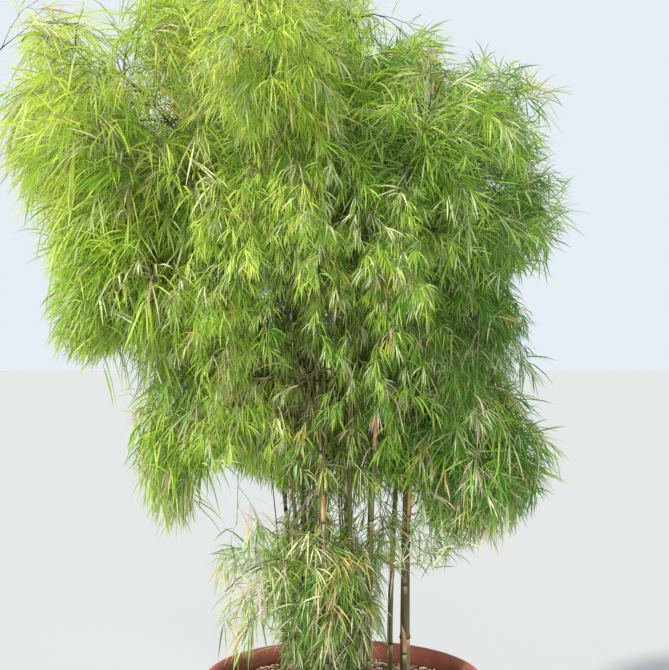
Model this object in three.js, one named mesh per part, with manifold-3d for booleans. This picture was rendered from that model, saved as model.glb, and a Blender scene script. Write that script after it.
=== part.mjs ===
// Potted weeping bamboo: a fine-leaved clump of canes in a rolled-rim terracotta pot.
//
// Millimetres, +Z up. The origin is the centre of the pot's flat underside.
// +X is the viewer's right and the viewer stands on the -Y side. Azimuths are counted
// from +X towards +Y. Tilts are counted from straight up: 90 is level, 180 hangs down.
//
// Every cane, arching bough, stem and twig bends in one upright plane, so each is a
// turned, tapering rod that is bent along a path of tilts. Each mass of foliage is one
// stem with alternate twigs and fans of blades, joined to one body, and it keeps to its
// own cell of space: the points that are nearer to its own site than to any other site.

import * as THREE from "three";
import { mergeVertices } from "three/addons/utils/BufferGeometryUtils.js";
import Module from "manifold-3d";

const wasm = await Module();
wasm.setup();

// Pot and soil
const POT = {
  height: 630,
  footRadius: 250,
  footRound: 14,
  bellyRadius: 408,
  bellyHeight: 375,
  neckRadius: 371,
  rimRadius: 400,
  rollRadius: 27,
  wall: 24,
  floorThickness: 30,
};
const SOIL = {
  flatRadius: 245,
  flatHeight: 594,
  edgeHeight: 579,
  floorGap: 0.4,
  wallGap: 3,
  sideGap: 12,
};
const TURNED_SIDES = 32;

// Canes: the arching ones, the upright ones within them and the thick one
const CLUMP = { centreX: 15, innerRadius: 62, innerStep: 15, outerRadius: 150, outerStagger: 32 };
const ARCHING = {
  count: 8,
  firstAzimuth: 24,
  length: 1730,
  lengthLeft: 150,
  lengthStagger: 60,
  lean: 4.2,
  leanLeft: 1.8,
  arch: 42,
  archLeft: 8,
  archStagger: 6,
  footRadius: 6.6,
  tipRadius: 2.6,
  boughFrom: 0.79,
  boughStations: 5,
  internode: 190,
  sides: 5,
};
const UPRIGHT = {
  count: 5,
  firstAzimuth: 91.5,
  length: 1740,
  lengthLeft: 60,
  lean: 1.6,
  arch: 11,
  footRadius: 7.2,
  tipRadius: 2.8,
  internode: 255,
  sides: 5,
};
const THICK = {
  x: 174,
  y: -24,
  azimuth: 35,
  length: 1560,
  lean: 0.8,
  arch: 24,
  footRadius: 15.5,
  tipRadius: 3.4,
  internode: 255,
  sides: 8,
};
const NODE = { first: 0.55, swelling: 1.16, waist: 0.95, length: 9 };
const LEAN_FROM = 0.25;
const TAPER_POWER = 0.85;
const DROOP_POWER = 1.5;
const PATH_STEPS = 36;
const JOINT_GAP = 0.3;
const CUT_ALLOWANCE = 0.05;

// Masses of foliage on the canes: where the stem leaves, and how it tilts, droops and turns
const WAVE = { step: 2.4, start: -1.75 };
const FAR_LEFT = 0.3;
const NEAR_RIGHT = 0.15;
const TIERS = {
  tip: { share: 1, droop: 90, length: 330, lift: 16, finish: "leafBright" },
  upper: {
    share: 0.72,
    wave: 0.035,
    turn: 36,
    tilt: 48,
    droop: 70,
    length: 320,
    lift: 8,
    finish: "leafMiddle",
  },
  middle: {
    share: 0.49,
    wave: 0.05,
    turn: -32,
    tilt: 52,
    droop: 76,
    length: 330,
    lift: 14,
    finish: "leafDeep",
  },
  top: { share: 1, droop: 40, length: 150, lift: -14, scale: 0.82, finish: "leafBright" },
};
const LOW = {
  leftBunch: { tilt: 52, droop: 96, length: 400, lift: 28, finish: "leafMiddle" },
  rightSpray: { tilt: 58, droop: 40, length: 380, lift: 6, finish: "leafMiddle" },
  base: { tilt: 32, droop: 70, length: 190, lift: 13, scale: 0.72, finish: "leafMiddle" },
};
const LOW_MASSES = [
  { name: "left_bunch", cane: 5, share: 0.35, turn: -10, form: LOW.leftBunch },
  { name: "right_spray", cane: 8, share: 0.38, turn: 0, form: LOW.rightSpray },
  { name: "base_front", cane: 6, share: 0.16, turn: 40, form: LOW.base },
  { name: "base_left", cane: 4, share: 0.17, turn: 30, form: LOW.base },
  { name: "base_right", cane: 7, share: 0.18, turn: 30, form: LOW.base },
  { name: "base_back", cane: 2, share: 0.16, turn: 20, form: LOW.base },
];

// Stems, twigs and blades
const STEM = {
  segments: 4,
  radius: 2.8,
  tipRadius: 1.8,
  turns: [0, 14, -14, 28, -28, 42, -42, 56, -56],
  lastTwigAt: 0.985,
};
const TWIG = {
  stations: [0.26, 0.42, 0.58, 0.72, 0.86, 1],
  most: 5,
  spread: 66,
  droop: 24,
  length: 215,
  radius: 2.2,
  tipRadius: 1.6,
  rootShare: 0.06,
  turns: [1, -1, 0.4],
};
const BLADE = {
  places: [0.46, 0.78, 0.97],
  most: 11,
  length: 285,
  width: 24,
  thickness: 3.4,
  widestAt: 0.24,
  shortest: 125,
  fan: 34,
  turns: [1, -1, 2, 0.3],
  leans: [0, 26],
};
const SCATTER = {
  twigTurn: 14,
  twigTilt: 14,
  bladeTurn: 12,
  bladeTilt: 18,
  bladeRoll: 60,
  bladeLength: 0.12,
};
const TRIAL_SHARES = [1, 0.84, 0.7, 0.56, 0.45];
const NEARLY_ZERO = 1e-9;

// Space: the margins between cells and round limbs, and the crown's limits
const SPACE = { margin: 1, limbMargin: 4.5, potMargin: 14, heightScale: 0.62, siteAt: 0.26, probes: 6 };
const CROWN = { left: -985, right: 705, front: -850, back: 850, top: 2690, bottom: 645 };

const FINISH = {
  terracotta: { color: 0xa9573a, roughness: 0.82, metalness: 0 },
  soil: { color: 0x5c4433, roughness: 0.97, metalness: 0 },
  cane: { color: 0x6f6a37, roughness: 0.6, metalness: 0 },
  thickCane: { color: 0x57482f, roughness: 0.62, metalness: 0 },
  leafBright: { color: 0xa9bd3f, roughness: 0.55, metalness: 0 },
  leafMiddle: { color: 0x83a136, roughness: 0.58, metalness: 0 },
  leafDeep: { color: 0x5d7f2f, roughness: 0.6, metalness: 0 },
};

const radians = THREE.MathUtils.degToRad;
const mix = THREE.MathUtils.lerp;

// A heading turned by azimuth and tilt, both in degrees
function heading(azimuth, tilt) {
  const a = radians(azimuth);
  const t = radians(tilt);
  return new THREE.Vector3(Math.cos(a) * Math.sin(t), Math.sin(a) * Math.sin(t), Math.cos(t));
}

// The level direction square to an azimuth
function sideways(azimuth) {
  const a = radians(azimuth);
  return new THREE.Vector3(-Math.sin(a), Math.cos(a), 0);
}

// How far to the left an azimuth points: 1 at the left, -1 at the right
function leftness(azimuth) {
  return -Math.cos(radians(azimuth));
}

// Seeded numbers from 0 to 1
function seededNumbers(seed) {
  let state = Math.imul(seed, 2654435761) >>> 0;
  return () => {
    state = (Math.imul(state, 1664525) + 1013904223) >>> 0;
    return state / 4294967296;
  };
}

// A path in one upright plane, whose tilt is a function of the share of its length
class BentPath {
  constructor(start, azimuth, length, tiltAt, steps) {
    this.azimuth = azimuth;
    this.length = length;
    this.tiltAt = tiltAt;
    this.points = [start.clone()];
    for (let i = 0; i < steps; i += 1) {
      const step = heading(azimuth, tiltAt((i + 0.5) / steps)).multiplyScalar(length / steps);
      this.points.push(this.points[i].clone().add(step));
    }
  }

  // The point at a share of the length
  pointAt(share) {
    const place = THREE.MathUtils.clamp(share, 0, 1) * (this.points.length - 1);
    const index = Math.min(Math.floor(place), this.points.length - 2);
    return this.points[index].clone().lerp(this.points[index + 1], place - index);
  }
}

// A turned rod bent along a path; profile holds pairs of share of length and radius
function bentRod(path, profile, sides) {
  const outline = profile.map(([share, radius]) => new THREE.Vector2(radius, share));
  if (profile[0][1] > 0) outline.unshift(new THREE.Vector2(0, profile[0][0]));
  outline.push(new THREE.Vector2(0, profile.at(-1)[0]));
  const geometry = new THREE.LatheGeometry(outline, sides);
  const side = sideways(path.azimuth);
  const position = geometry.attributes.position;
  for (let i = 0; i < position.count; i += 1) {
    const share = position.getY(i);
    const along = heading(path.azimuth, path.tiltAt(share));
    const across = side.clone().cross(along);
    const vertex = path.pointAt(share);
    vertex.addScaledVector(side, position.getX(i)).addScaledVector(across, position.getZ(i));
    position.setXYZ(i, vertex.x, vertex.y, vertex.z);
  }
  return geometry;
}

// A closed body from a geometry whose shared vertices are merged
function toBody(geometry) {
  const bare = geometry.clone();
  bare.deleteAttribute("normal");
  bare.deleteAttribute("uv");
  const merged = mergeVertices(bare, 1e-4);
  const corners = [];
  const index = merged.index.array;
  for (let i = 0; i < index.length; i += 3) {
    const [a, b, c] = [index[i], index[i + 1], index[i + 2]];
    if (a !== b && b !== c && c !== a) corners.push(a, b, c);
  }
  const vertProperties = new Float32Array(merged.attributes.position.array);
  const triVerts = new Uint32Array(corners);
  return new wasm.Manifold(new wasm.Mesh({ numProp: 3, vertProperties, triVerts }));
}

// The geometry of a closed body
function toGeometry(body) {
  const mesh = body.getMesh();
  const geometry = new THREE.BufferGeometry();
  geometry.setAttribute("position", new THREE.BufferAttribute(mesh.vertProperties, 3));
  geometry.setIndex(new THREE.BufferAttribute(mesh.triVerts, 1));
  geometry.computeVertexNormals();
  return geometry;
}

function namedMesh(name, geometry, finish) {
  const mesh = new THREE.Mesh(geometry, new THREE.MeshStandardMaterial(finish));
  mesh.name = name;
  return mesh;
}

// Pot: a bellied bowl with a flat foot, a neck and a rolled rim
function makePot() {
  const rollHeight = POT.height - POT.rollRadius;
  const rollCentre = POT.rimRadius - POT.rollRadius;
  const belly = new THREE.CubicBezierCurve(
    new THREE.Vector2(POT.footRadius, POT.footRound),
    new THREE.Vector2(POT.bellyRadius - 45, POT.bellyHeight * 0.4),
    new THREE.Vector2(POT.bellyRadius + 22, POT.bellyHeight * 0.92),
    new THREE.Vector2(POT.neckRadius, rollHeight - POT.rollRadius * 1.3),
  );
  const roll = new THREE.EllipseCurve(
    rollCentre, rollHeight, POT.rollRadius, POT.rollRadius, radians(-75), radians(180), false,
  );
  const outline = [
    new THREE.Vector2(0, 0),
    new THREE.Vector2(POT.footRadius - POT.footRound, 0),
    ...belly.getPoints(6),
    ...roll.getPoints(5),
  ];
  const inner = belly.getPoints(4).slice(1).reverse();
  inner.forEach((point) => outline.push(new THREE.Vector2(point.x - POT.wall, point.y)));
  outline.push(new THREE.Vector2(POT.footRadius - POT.wall, POT.floorThickness));
  outline.push(new THREE.Vector2(0, POT.floorThickness));
  const geometry = new THREE.LatheGeometry(outline, TURNED_SIDES);
  geometry.rotateX(Math.PI / 2);
  return namedMesh("pot", geometry, FINISH.terracotta);
}

// Soil: it fills the pot to a flat top that falls a little towards the wall
function makeSoil() {
  const wallRadius = POT.neckRadius - POT.wall - SOIL.wallGap;
  const floorHeight = POT.floorThickness + SOIL.floorGap;
  const outline = [
    new THREE.Vector2(0, floorHeight),
    new THREE.Vector2(POT.footRadius - POT.wall - SOIL.sideGap, floorHeight),
    new THREE.Vector2(wallRadius - SOIL.sideGap, POT.bellyHeight * 0.75),
    new THREE.Vector2(wallRadius, SOIL.edgeHeight),
    new THREE.Vector2(SOIL.flatRadius, SOIL.flatHeight),
    new THREE.Vector2(0, SOIL.flatHeight),
  ];
  const geometry = new THREE.LatheGeometry(outline, TURNED_SIDES);
  geometry.rotateX(Math.PI / 2);
  return namedMesh("soil", geometry, FINISH.soil);
}

// One cane: upright at its foot, then leaning, then arching over towards its tip
function makeLimb(name, kind, foot, azimuth, size) {
  const start = new THREE.Vector3(foot.x, foot.y, SOIL.flatHeight + JOINT_GAP);
  const tiltAt = (share) =>
    size.lean * THREE.MathUtils.smoothstep(share, 0, LEAN_FROM) + size.arch * share ** 3;
  const path = new BentPath(start, azimuth, size.length, tiltAt, PATH_STEPS);
  const radiusAt = (share) => mix(size.footRadius, size.tipRadius, share ** TAPER_POWER);
  const { internode, sides } = size;
  return { name, kind, path, radiusAt, end: size.boughFrom ?? 1, internode, sides };
}

// A foot in the clump at an azimuth and a distance from its centre
function clumpFoot(azimuth, distance) {
  const foot = heading(azimuth, 90).multiplyScalar(distance);
  foot.x += CLUMP.centreX;
  return foot;
}

// The clump: arching canes in an outer ring, upright ones within it and one thick cane
function planClump() {
  const clump = [];
  for (let i = 0; i < ARCHING.count; i += 1) {
    const azimuth = ARCHING.firstAzimuth + (i * 360) / ARCHING.count;
    const left = leftness(azimuth);
    const stagger = i % 2 === 0 ? -0.5 : 0.5;
    const size = {
      ...ARCHING,
      length: ARCHING.length + ARCHING.lengthLeft * left + ARCHING.lengthStagger * stagger,
      lean: ARCHING.lean + ARCHING.leanLeft * left,
      arch: ARCHING.arch + ARCHING.archLeft * left - ARCHING.archStagger * stagger,
    };
    const foot = clumpFoot(azimuth, CLUMP.outerRadius + CLUMP.outerStagger * stagger);
    clump.push(makeLimb(`cane_arching_${i + 1}`, "arching", foot, azimuth, size));
  }
  for (let i = 0; i < UPRIGHT.count; i += 1) {
    const azimuth = UPRIGHT.firstAzimuth + (i * 360) / ARCHING.count;
    const size = { ...UPRIGHT, length: UPRIGHT.length + UPRIGHT.lengthLeft * leftness(azimuth) };
    const place = (i * 2) % UPRIGHT.count;
    const foot = clumpFoot(azimuth, CLUMP.innerRadius + place * CLUMP.innerStep);
    clump.push(makeLimb(`cane_upright_${i + 1}`, "upright", foot, azimuth, size));
  }
  clump.push(makeLimb("cane_thick", "thick", THICK, THICK.azimuth, THICK));
  return clump;
}

// A cane's profile from its foot to its end, swollen at its nodes and grown by an amount
function caneProfile(limb, growth) {
  const profile = [[0, limb.radiusAt(0) + growth]];
  const spacing = limb.internode / limb.path.length;
  const step = NODE.length / limb.path.length;
  for (let share = spacing * NODE.first; share < limb.end - step * 3; share += spacing) {
    profile.push([share, limb.radiusAt(share) * NODE.swelling + growth]);
    profile.push([share + step, limb.radiusAt(share) * NODE.waist + growth]);
  }
  profile.push([limb.end, limb.radiusAt(limb.end) + growth]);
  return profile;
}

// A bough's profile: a plain taper from where its cane ends
function boughProfile(limb) {
  const from = limb.end + JOINT_GAP / limb.path.length;
  const { boughStations } = ARCHING;
  return Array.from({ length: boughStations + 1 }, (_, i) => {
    const share = mix(from, 1, i / boughStations);
    return [share, limb.radiusAt(share)];
  });
}

const limbs = planClump();
const group = new THREE.Group();
group.add(makePot(), makeSoil());

for (const limb of limbs) {
  const finish = limb.kind === "thick" ? FINISH.thickCane : FINISH.cane;
  group.add(namedMesh(limb.name, bentRod(limb.path, caneProfile(limb, 0), limb.sides), finish));
  if (limb.kind === "arching") {
    const name = limb.name.replace("cane", "bough");
    group.add(namedMesh(name, bentRod(limb.path, boughProfile(limb), limb.sides), finish));
  }
}

// The plan of the masses: where each stem leaves its limb, how it heads and how it droops
function planMasses() {
  const masses = [];
  const add = (name, limb, form) => {
    const mass = { scale: 1, ...form, name, limb };
    mass.seed = masses.length + 1;
    mass.atTip = form.share === 1;
    mass.azimuth = limb.path.azimuth + (form.turn ?? 0);
    mass.tilt = form.tilt ?? limb.path.tiltAt(1);
    mass.site = stemPath(mass, 0, 1).pointAt(SPACE.siteAt);
    masses.push(mass);
  };
  limbs.forEach((limb, i) => {
    const label = limb.name.replace("cane_", "foliage_");
    if (limb.kind !== "arching") {
      add(`${label}_tip`, limb, TIERS.top);
      return;
    }
    const side = i % 2 === 0 ? 1 : -1;
    const wave = Math.sin(WAVE.start + WAVE.step * i);
    const left = leftness(limb.path.azimuth);
    const far = 1 + FAR_LEFT * Math.max(left, 0);
    const near = 1 - NEAR_RIGHT * Math.max(-left, 0);
    const { tip, upper, middle } = TIERS;
    add(`${label}_tip`, limb, { ...tip, droop: tip.droop * far, length: tip.length * far * near });
    add(`${label}_upper`, limb, {
      ...upper,
      share: upper.share + upper.wave * wave,
      turn: upper.turn * side,
      tilt: upper.tilt * far,
      length: upper.length * far,
    });
    const share = middle.share + middle.wave * wave;
    add(`${label}_middle`, limb, { ...middle, share, turn: middle.turn * side });
  });
  LOW_MASSES.forEach(({ name, cane, share, turn, form }) => {
    add(`foliage_${name}`, limbs[cane - 1], { ...form, share, turn });
  });
  return masses;
}

// A mass's stem, turned aside by an angle and shortened to a share of its length
function stemPath(mass, turn, share) {
  const azimuth = mass.azimuth + turn;
  const start = mass.limb.path.pointAt(mass.share);
  if (mass.atTip) start.addScaledVector(heading(azimuth, mass.tilt), JOINT_GAP);
  const tiltAt = (part) => mass.tilt + mass.droop * part ** DROOP_POWER;
  return new BentPath(start, azimuth, mass.length * share, tiltAt, STEM.segments);
}

// Squared distance with heights counted less
function siteDistance(point, site) {
  const rise = (point.z - site.z) * SPACE.heightScale;
  return (point.x - site.x) ** 2 + (point.y - site.y) ** 2 + rise ** 2;
}

// Whether a point and what reaches round it lie in the mass's own cell
function inCell(point, reach, mass) {
  return plan.every((other) => {
    if (other === mass) return true;
    const slopeX = 2 * (other.site.x - mass.site.x);
    const slopeY = 2 * (other.site.y - mass.site.y);
    const slopeZ = 2 * SPACE.heightScale ** 2 * (other.site.z - mass.site.z);
    const slack = siteDistance(point, other.site) - siteDistance(point, mass.site);
    return slack > (SPACE.margin + reach) * Math.hypot(slopeX, slopeY, slopeZ);
  });
}

// Whether a point is clear of the pot and the soil and inside the crown's limits
function inOpenAir(point) {
  const radius = Math.hypot(point.x, point.y);
  const mouth = POT.rimRadius - POT.rollRadius * 2;
  const overRim = point.z > POT.height + SPACE.potMargin;
  const outside = radius > POT.bellyRadius + SPACE.potMargin;
  const overSoil = point.z > SOIL.flatHeight + SPACE.potMargin && radius < mouth - SPACE.potMargin;
  const within = point.x > CROWN.left && point.x < CROWN.right
    && point.y > CROWN.front && point.y < CROWN.back
    && point.z > CROWN.bottom && point.z < CROWN.top;
  return within && (overRim || outside || overSoil);
}

// The least distance between two straight stretches
function stretchDistance(a, b, c, d) {
  const u = b.clone().sub(a);
  const v = d.clone().sub(c);
  const w = a.clone().sub(c);
  const uu = u.dot(u);
  const uv = u.dot(v);
  const vv = v.dot(v);
  const uw = u.dot(w);
  const vw = v.dot(w);
  const spread = uu * vv - uv * uv;
  const free = spread > NEARLY_ZERO ? THREE.MathUtils.clamp((uv * vw - vv * uw) / spread, 0, 1) : 0;
  const along = THREE.MathUtils.clamp((uv * free + vw) / vv, 0, 1);
  const nearest = THREE.MathUtils.clamp((uv * along - uw) / uu, 0, 1);
  return w.addScaledVector(u, nearest).addScaledVector(v, -along).length();
}

// Whether a stretch of a given half width passes clear of every limb but the one it grows on
function clearOfLimbs(from, to, halfWidth, ownLimb) {
  return limbs.every((limb) => {
    if (limb === ownLimb) return true;
    const { points } = limb.path;
    const steps = points.length - 1;
    for (let i = 0; i < steps; i += 1) {
      const reach = limb.radiusAt(i / steps) * NODE.swelling + halfWidth + SPACE.limbMargin;
      if (stretchDistance(from, to, points[i], points[i + 1]) < reach) return false;
    }
    return true;
  });
}

// Whether a path's every stretch has room in the mass's own space
function hasRoom(points, halfWidth, mass, ownLimb) {
  for (let i = 0; i < points.length - 1; i += 1) {
    const [from, to] = [points[i], points[i + 1]];
    if (!clearOfLimbs(from, to, halfWidth, ownLimb)) return false;
    for (let k = 0; k <= SPACE.probes; k += 1) {
      if (!inOpenAir(from.clone().lerp(to, k / SPACE.probes))) return false;
    }
  }
  return points.every((point) => inCell(point, halfWidth, mass));
}

// A mass's stem: turned aside until it has room, and shortened where no turn helps
function findStem(mass) {
  const turns = mass.atTip ? [0] : STEM.turns;
  const trials = TRIAL_SHARES.flatMap((share) => turns.map((turn) => stemPath(mass, turn, share)));
  return trials.find((trial) => hasRoom(trial.points, STEM.radius, mass, mass.limb));
}

// A blade's place: its root, its heading and the two corners of its widest part
function bladeAt(root, azimuth, tilt, roll, length) {
  const along = heading(azimuth, tilt);
  const side = sideways(azimuth).applyAxisAngle(along, radians(roll));
  const half = (BLADE.width / 2) * (length / BLADE.length);
  const tip = root.clone().addScaledVector(along, length);
  const middle = root.clone().lerp(tip, BLADE.widestAt);
  const corners = [1, -1].map((sign) => middle.clone().addScaledVector(side, sign * half));
  return { root, tip, along, side, half, length, corners };
}

// Whether a blade has room: its midrib clear of the limbs and its corners in the cell
function bladeHasRoom(blade, mass) {
  return hasRoom([blade.root, blade.tip], BLADE.width / 2, mass, null)
    && blade.corners.every((corner) => inCell(corner, BLADE.thickness / 2, mass));
}

// A blade's body: three-sided, with two edges and a keel, widest near its root
function bladeBody(blade) {
  const radius = blade.half / Math.sin(Math.PI / 3);
  const flatness = BLADE.thickness / (1.5 * radius);
  const across = blade.side.clone().cross(blade.along);
  const outline = [
    new THREE.Vector2(0, 0),
    new THREE.Vector2(radius, blade.length * BLADE.widestAt),
    new THREE.Vector2(0, blade.length),
  ];
  const geometry = new THREE.LatheGeometry(outline, 3);
  const position = geometry.attributes.position;
  for (let i = 0; i < position.count; i += 1) {
    const vertex = blade.root.clone().addScaledVector(blade.along, position.getY(i));
    vertex.addScaledVector(blade.side, position.getX(i));
    vertex.addScaledVector(across, position.getZ(i) * flatness);
    position.setXYZ(i, vertex.x, vertex.y, vertex.z);
  }
  return toBody(geometry);
}

// The twig at one station of a stem: the first trial that has room
function findTwig(stem, station, side, mass, jitter) {
  const spread = side * TWIG.spread * (1.15 - station * 0.5);
  const turn = (station === 1 ? 0 : spread) + jitter(SCATTER.twigTurn);
  const tilt = stem.tiltAt(station) + jitter(SCATTER.twigTilt) + (TWIG.droop + mass.lift) / 2;
  const root = stem.pointAt(Math.min(station, STEM.lastTwigAt));
  const full = TWIG.length * mass.scale * (1.1 - station * 0.35);
  const trials = TRIAL_SHARES.flatMap((share) => TWIG.turns.map((part) =>
    new BentPath(root, stem.azimuth + turn * part, full * share, () => tilt, 1)));
  return trials.find((trial) => hasRoom(trial.points, TWIG.radius, mass, null));
}

// The blade at one place of a twig: the first trial that has room and is long enough
function findBlade(twig, place, side, mass, random) {
  const jitter = (range) => (random() * 2 - 1) * range;
  const fan = side * BLADE.fan * (1.1 - place * 0.5) + jitter(SCATTER.bladeTurn);
  const lean = twig.tiltAt(place) + mass.lift + jitter(SCATTER.bladeTilt);
  const roll = jitter(SCATTER.bladeRoll);
  const full = BLADE.length * mass.scale * (1 + jitter(SCATTER.bladeLength));
  const root = twig.pointAt(place);
  const trials = TRIAL_SHARES.flatMap((share) => BLADE.turns.flatMap((part) =>
    BLADE.leans.map((more) =>
      bladeAt(root, twig.azimuth + fan * part, lean + more, roll, full * share))));
  return trials.find((blade) => blade.length > BLADE.shortest && bladeHasRoom(blade, mass));
}

// One mass: its stem, alternate twigs along it and a fan of blades on each, as one body
function growMass(mass) {
  const random = seededNumbers(mass.seed);
  const jitter = (range) => (random() * 2 - 1) * range;
  const stem = findStem(mass);
  const twigs = TWIG.stations.map((station, i) => {
    const side = i % 2 === 0 ? 1 : -1;
    const path = findTwig(stem, station, side, mass, jitter);
    if (!path) return { blades: [] };
    const found = BLADE.places.map((place, k) =>
      findBlade(path, place, k === 1 ? side : -side, mass, random));
    return { path, blades: found.filter(Boolean) };
  });
  const leafy = twigs.filter((twig) => twig.blades.length > 0).reverse().slice(0, TWIG.most);
  const blades = leafy.flatMap((twig) => twig.blades).slice(0, BLADE.most);
  const stemProfile = Array.from({ length: STEM.segments + 1 }, (_, i) => {
    const part = i / STEM.segments;
    return [part, mix(STEM.radius, STEM.tipRadius, part)];
  });
  const twigProfile = [[0, 0], [TWIG.rootShare, TWIG.radius], [1, TWIG.tipRadius]];
  let body = toBody(bentRod(stem, stemProfile, 3));
  leafy.forEach((twig) => {
    body = body.add(toBody(bentRod(twig.path, twigProfile, 3)));
  });
  blades.forEach((blade) => {
    body = body.add(bladeBody(blade));
  });
  if (!mass.atTip) {
    const room = caneProfile(mass.limb, JOINT_GAP + CUT_ALLOWANCE);
    body = body.subtract(toBody(bentRod(mass.limb.path, room, mass.limb.sides)));
  }
  const largest = body.decompose().sort((a, b) => b.volume() - a.volume())[0];
  return namedMesh(mass.name, toGeometry(largest), FINISH[mass.finish]);
}

const plan = planMasses();
plan.forEach((mass) => group.add(growMass(mass)));

export default group;
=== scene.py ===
"""Potted weeping bamboo: a fine-leaved clump of canes in a rolled-rim terracotta pot.

Metres, +Z up, the origin at the centre of the pot's flat underside, +X to the viewer's
right and the viewer on the -Y side. Azimuths run from +X towards +Y, and tilts run from
straight up, so that 90 degrees is level and 180 degrees hangs down.
"""

import logging
from abc import ABC, abstractmethod
from dataclasses import dataclass, field
from enum import Enum
from math import cos, degrees, pi, radians, sin
from typing import Any, Iterable, Sequence

import bmesh
import bpy
import numpy as np
from mathutils import Matrix, Vector, noise


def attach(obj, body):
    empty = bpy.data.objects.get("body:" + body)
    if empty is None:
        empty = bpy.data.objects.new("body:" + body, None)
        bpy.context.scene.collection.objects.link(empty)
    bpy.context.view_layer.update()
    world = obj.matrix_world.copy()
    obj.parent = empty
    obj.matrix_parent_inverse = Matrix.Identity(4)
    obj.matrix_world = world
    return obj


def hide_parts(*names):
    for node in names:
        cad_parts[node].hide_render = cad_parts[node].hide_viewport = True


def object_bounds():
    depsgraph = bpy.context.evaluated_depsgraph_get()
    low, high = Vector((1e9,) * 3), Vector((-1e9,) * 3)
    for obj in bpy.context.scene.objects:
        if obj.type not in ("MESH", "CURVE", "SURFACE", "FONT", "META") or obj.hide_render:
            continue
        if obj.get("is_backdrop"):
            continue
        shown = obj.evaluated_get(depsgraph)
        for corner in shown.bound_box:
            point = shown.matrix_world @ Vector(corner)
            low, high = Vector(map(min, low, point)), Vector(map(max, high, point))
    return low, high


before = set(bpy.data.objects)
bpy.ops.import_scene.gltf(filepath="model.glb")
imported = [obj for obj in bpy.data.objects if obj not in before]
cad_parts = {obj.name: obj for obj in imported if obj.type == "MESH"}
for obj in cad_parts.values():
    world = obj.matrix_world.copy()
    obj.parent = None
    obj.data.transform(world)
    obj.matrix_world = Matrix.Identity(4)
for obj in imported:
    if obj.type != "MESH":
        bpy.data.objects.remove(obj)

log = logging.getLogger("potted_bamboo")

Colour = tuple[float, float, float]
Place = tuple[float, float, float]
Span = tuple[float, float]
DOWN = np.array([0.0, 0.0, -1.0])


def hex_colour(text: str) -> Colour:
    """A linear colour from six sRGB hex digits."""
    parts = [int(text[i : i + 2], 16) / 255 for i in (0, 2, 4)]
    return tuple(v / 12.92 if v <= 0.04045 else ((v + 0.055) / 1.055) ** 2.4 for v in parts)


# Shader maths


class Socket:
    """A value on its way through a material; sums on it are written as Python expressions."""

    def __init__(self, shader: "Shader", output: bpy.types.NodeSocket) -> None:
        """Wraps a node's output in the shader that it belongs to."""
        self.shader = shader
        self.output = output

    def _math(self, operation: str, *values: Any) -> "Socket":
        """A Math node of that operation on the values."""
        return self.shader.node("ShaderNodeMath", {"operation": operation}, dict(enumerate(values)))

    def __add__(self, other: Any) -> "Socket":
        """The sum."""
        return self._math("ADD", self, other)

    __radd__ = __add__

    def __sub__(self, other: Any) -> "Socket":
        """The difference."""
        return self._math("SUBTRACT", self, other)

    def __rsub__(self, other: Any) -> "Socket":
        """The difference from a number."""
        return self._math("SUBTRACT", other, self)

    def __mul__(self, other: Any) -> "Socket":
        """The product."""
        return self._math("MULTIPLY", self, other)

    __rmul__ = __mul__

    def sine(self) -> "Socket":
        """The sine."""
        return self._math("SINE", self)

    def clamped(self) -> "Socket":
        """The value kept from 0 to 1."""
        return self._math("MINIMUM", self._math("MAXIMUM", self, 0.0), 1.0)

    def step(self, low: float, high: float) -> "Socket":
        """A smooth step from 0 at low to 1 at high.

        Args:
            low: The value that gives 0.
            high: The value that gives 1.

        Returns:
            The stepped value.
        """
        return self.shader.node(
            "ShaderNodeMapRange",
            {"interpolation_type": "SMOOTHSTEP"},
            {"Value": self, "From Min": low, "From Max": high},
        )


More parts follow.
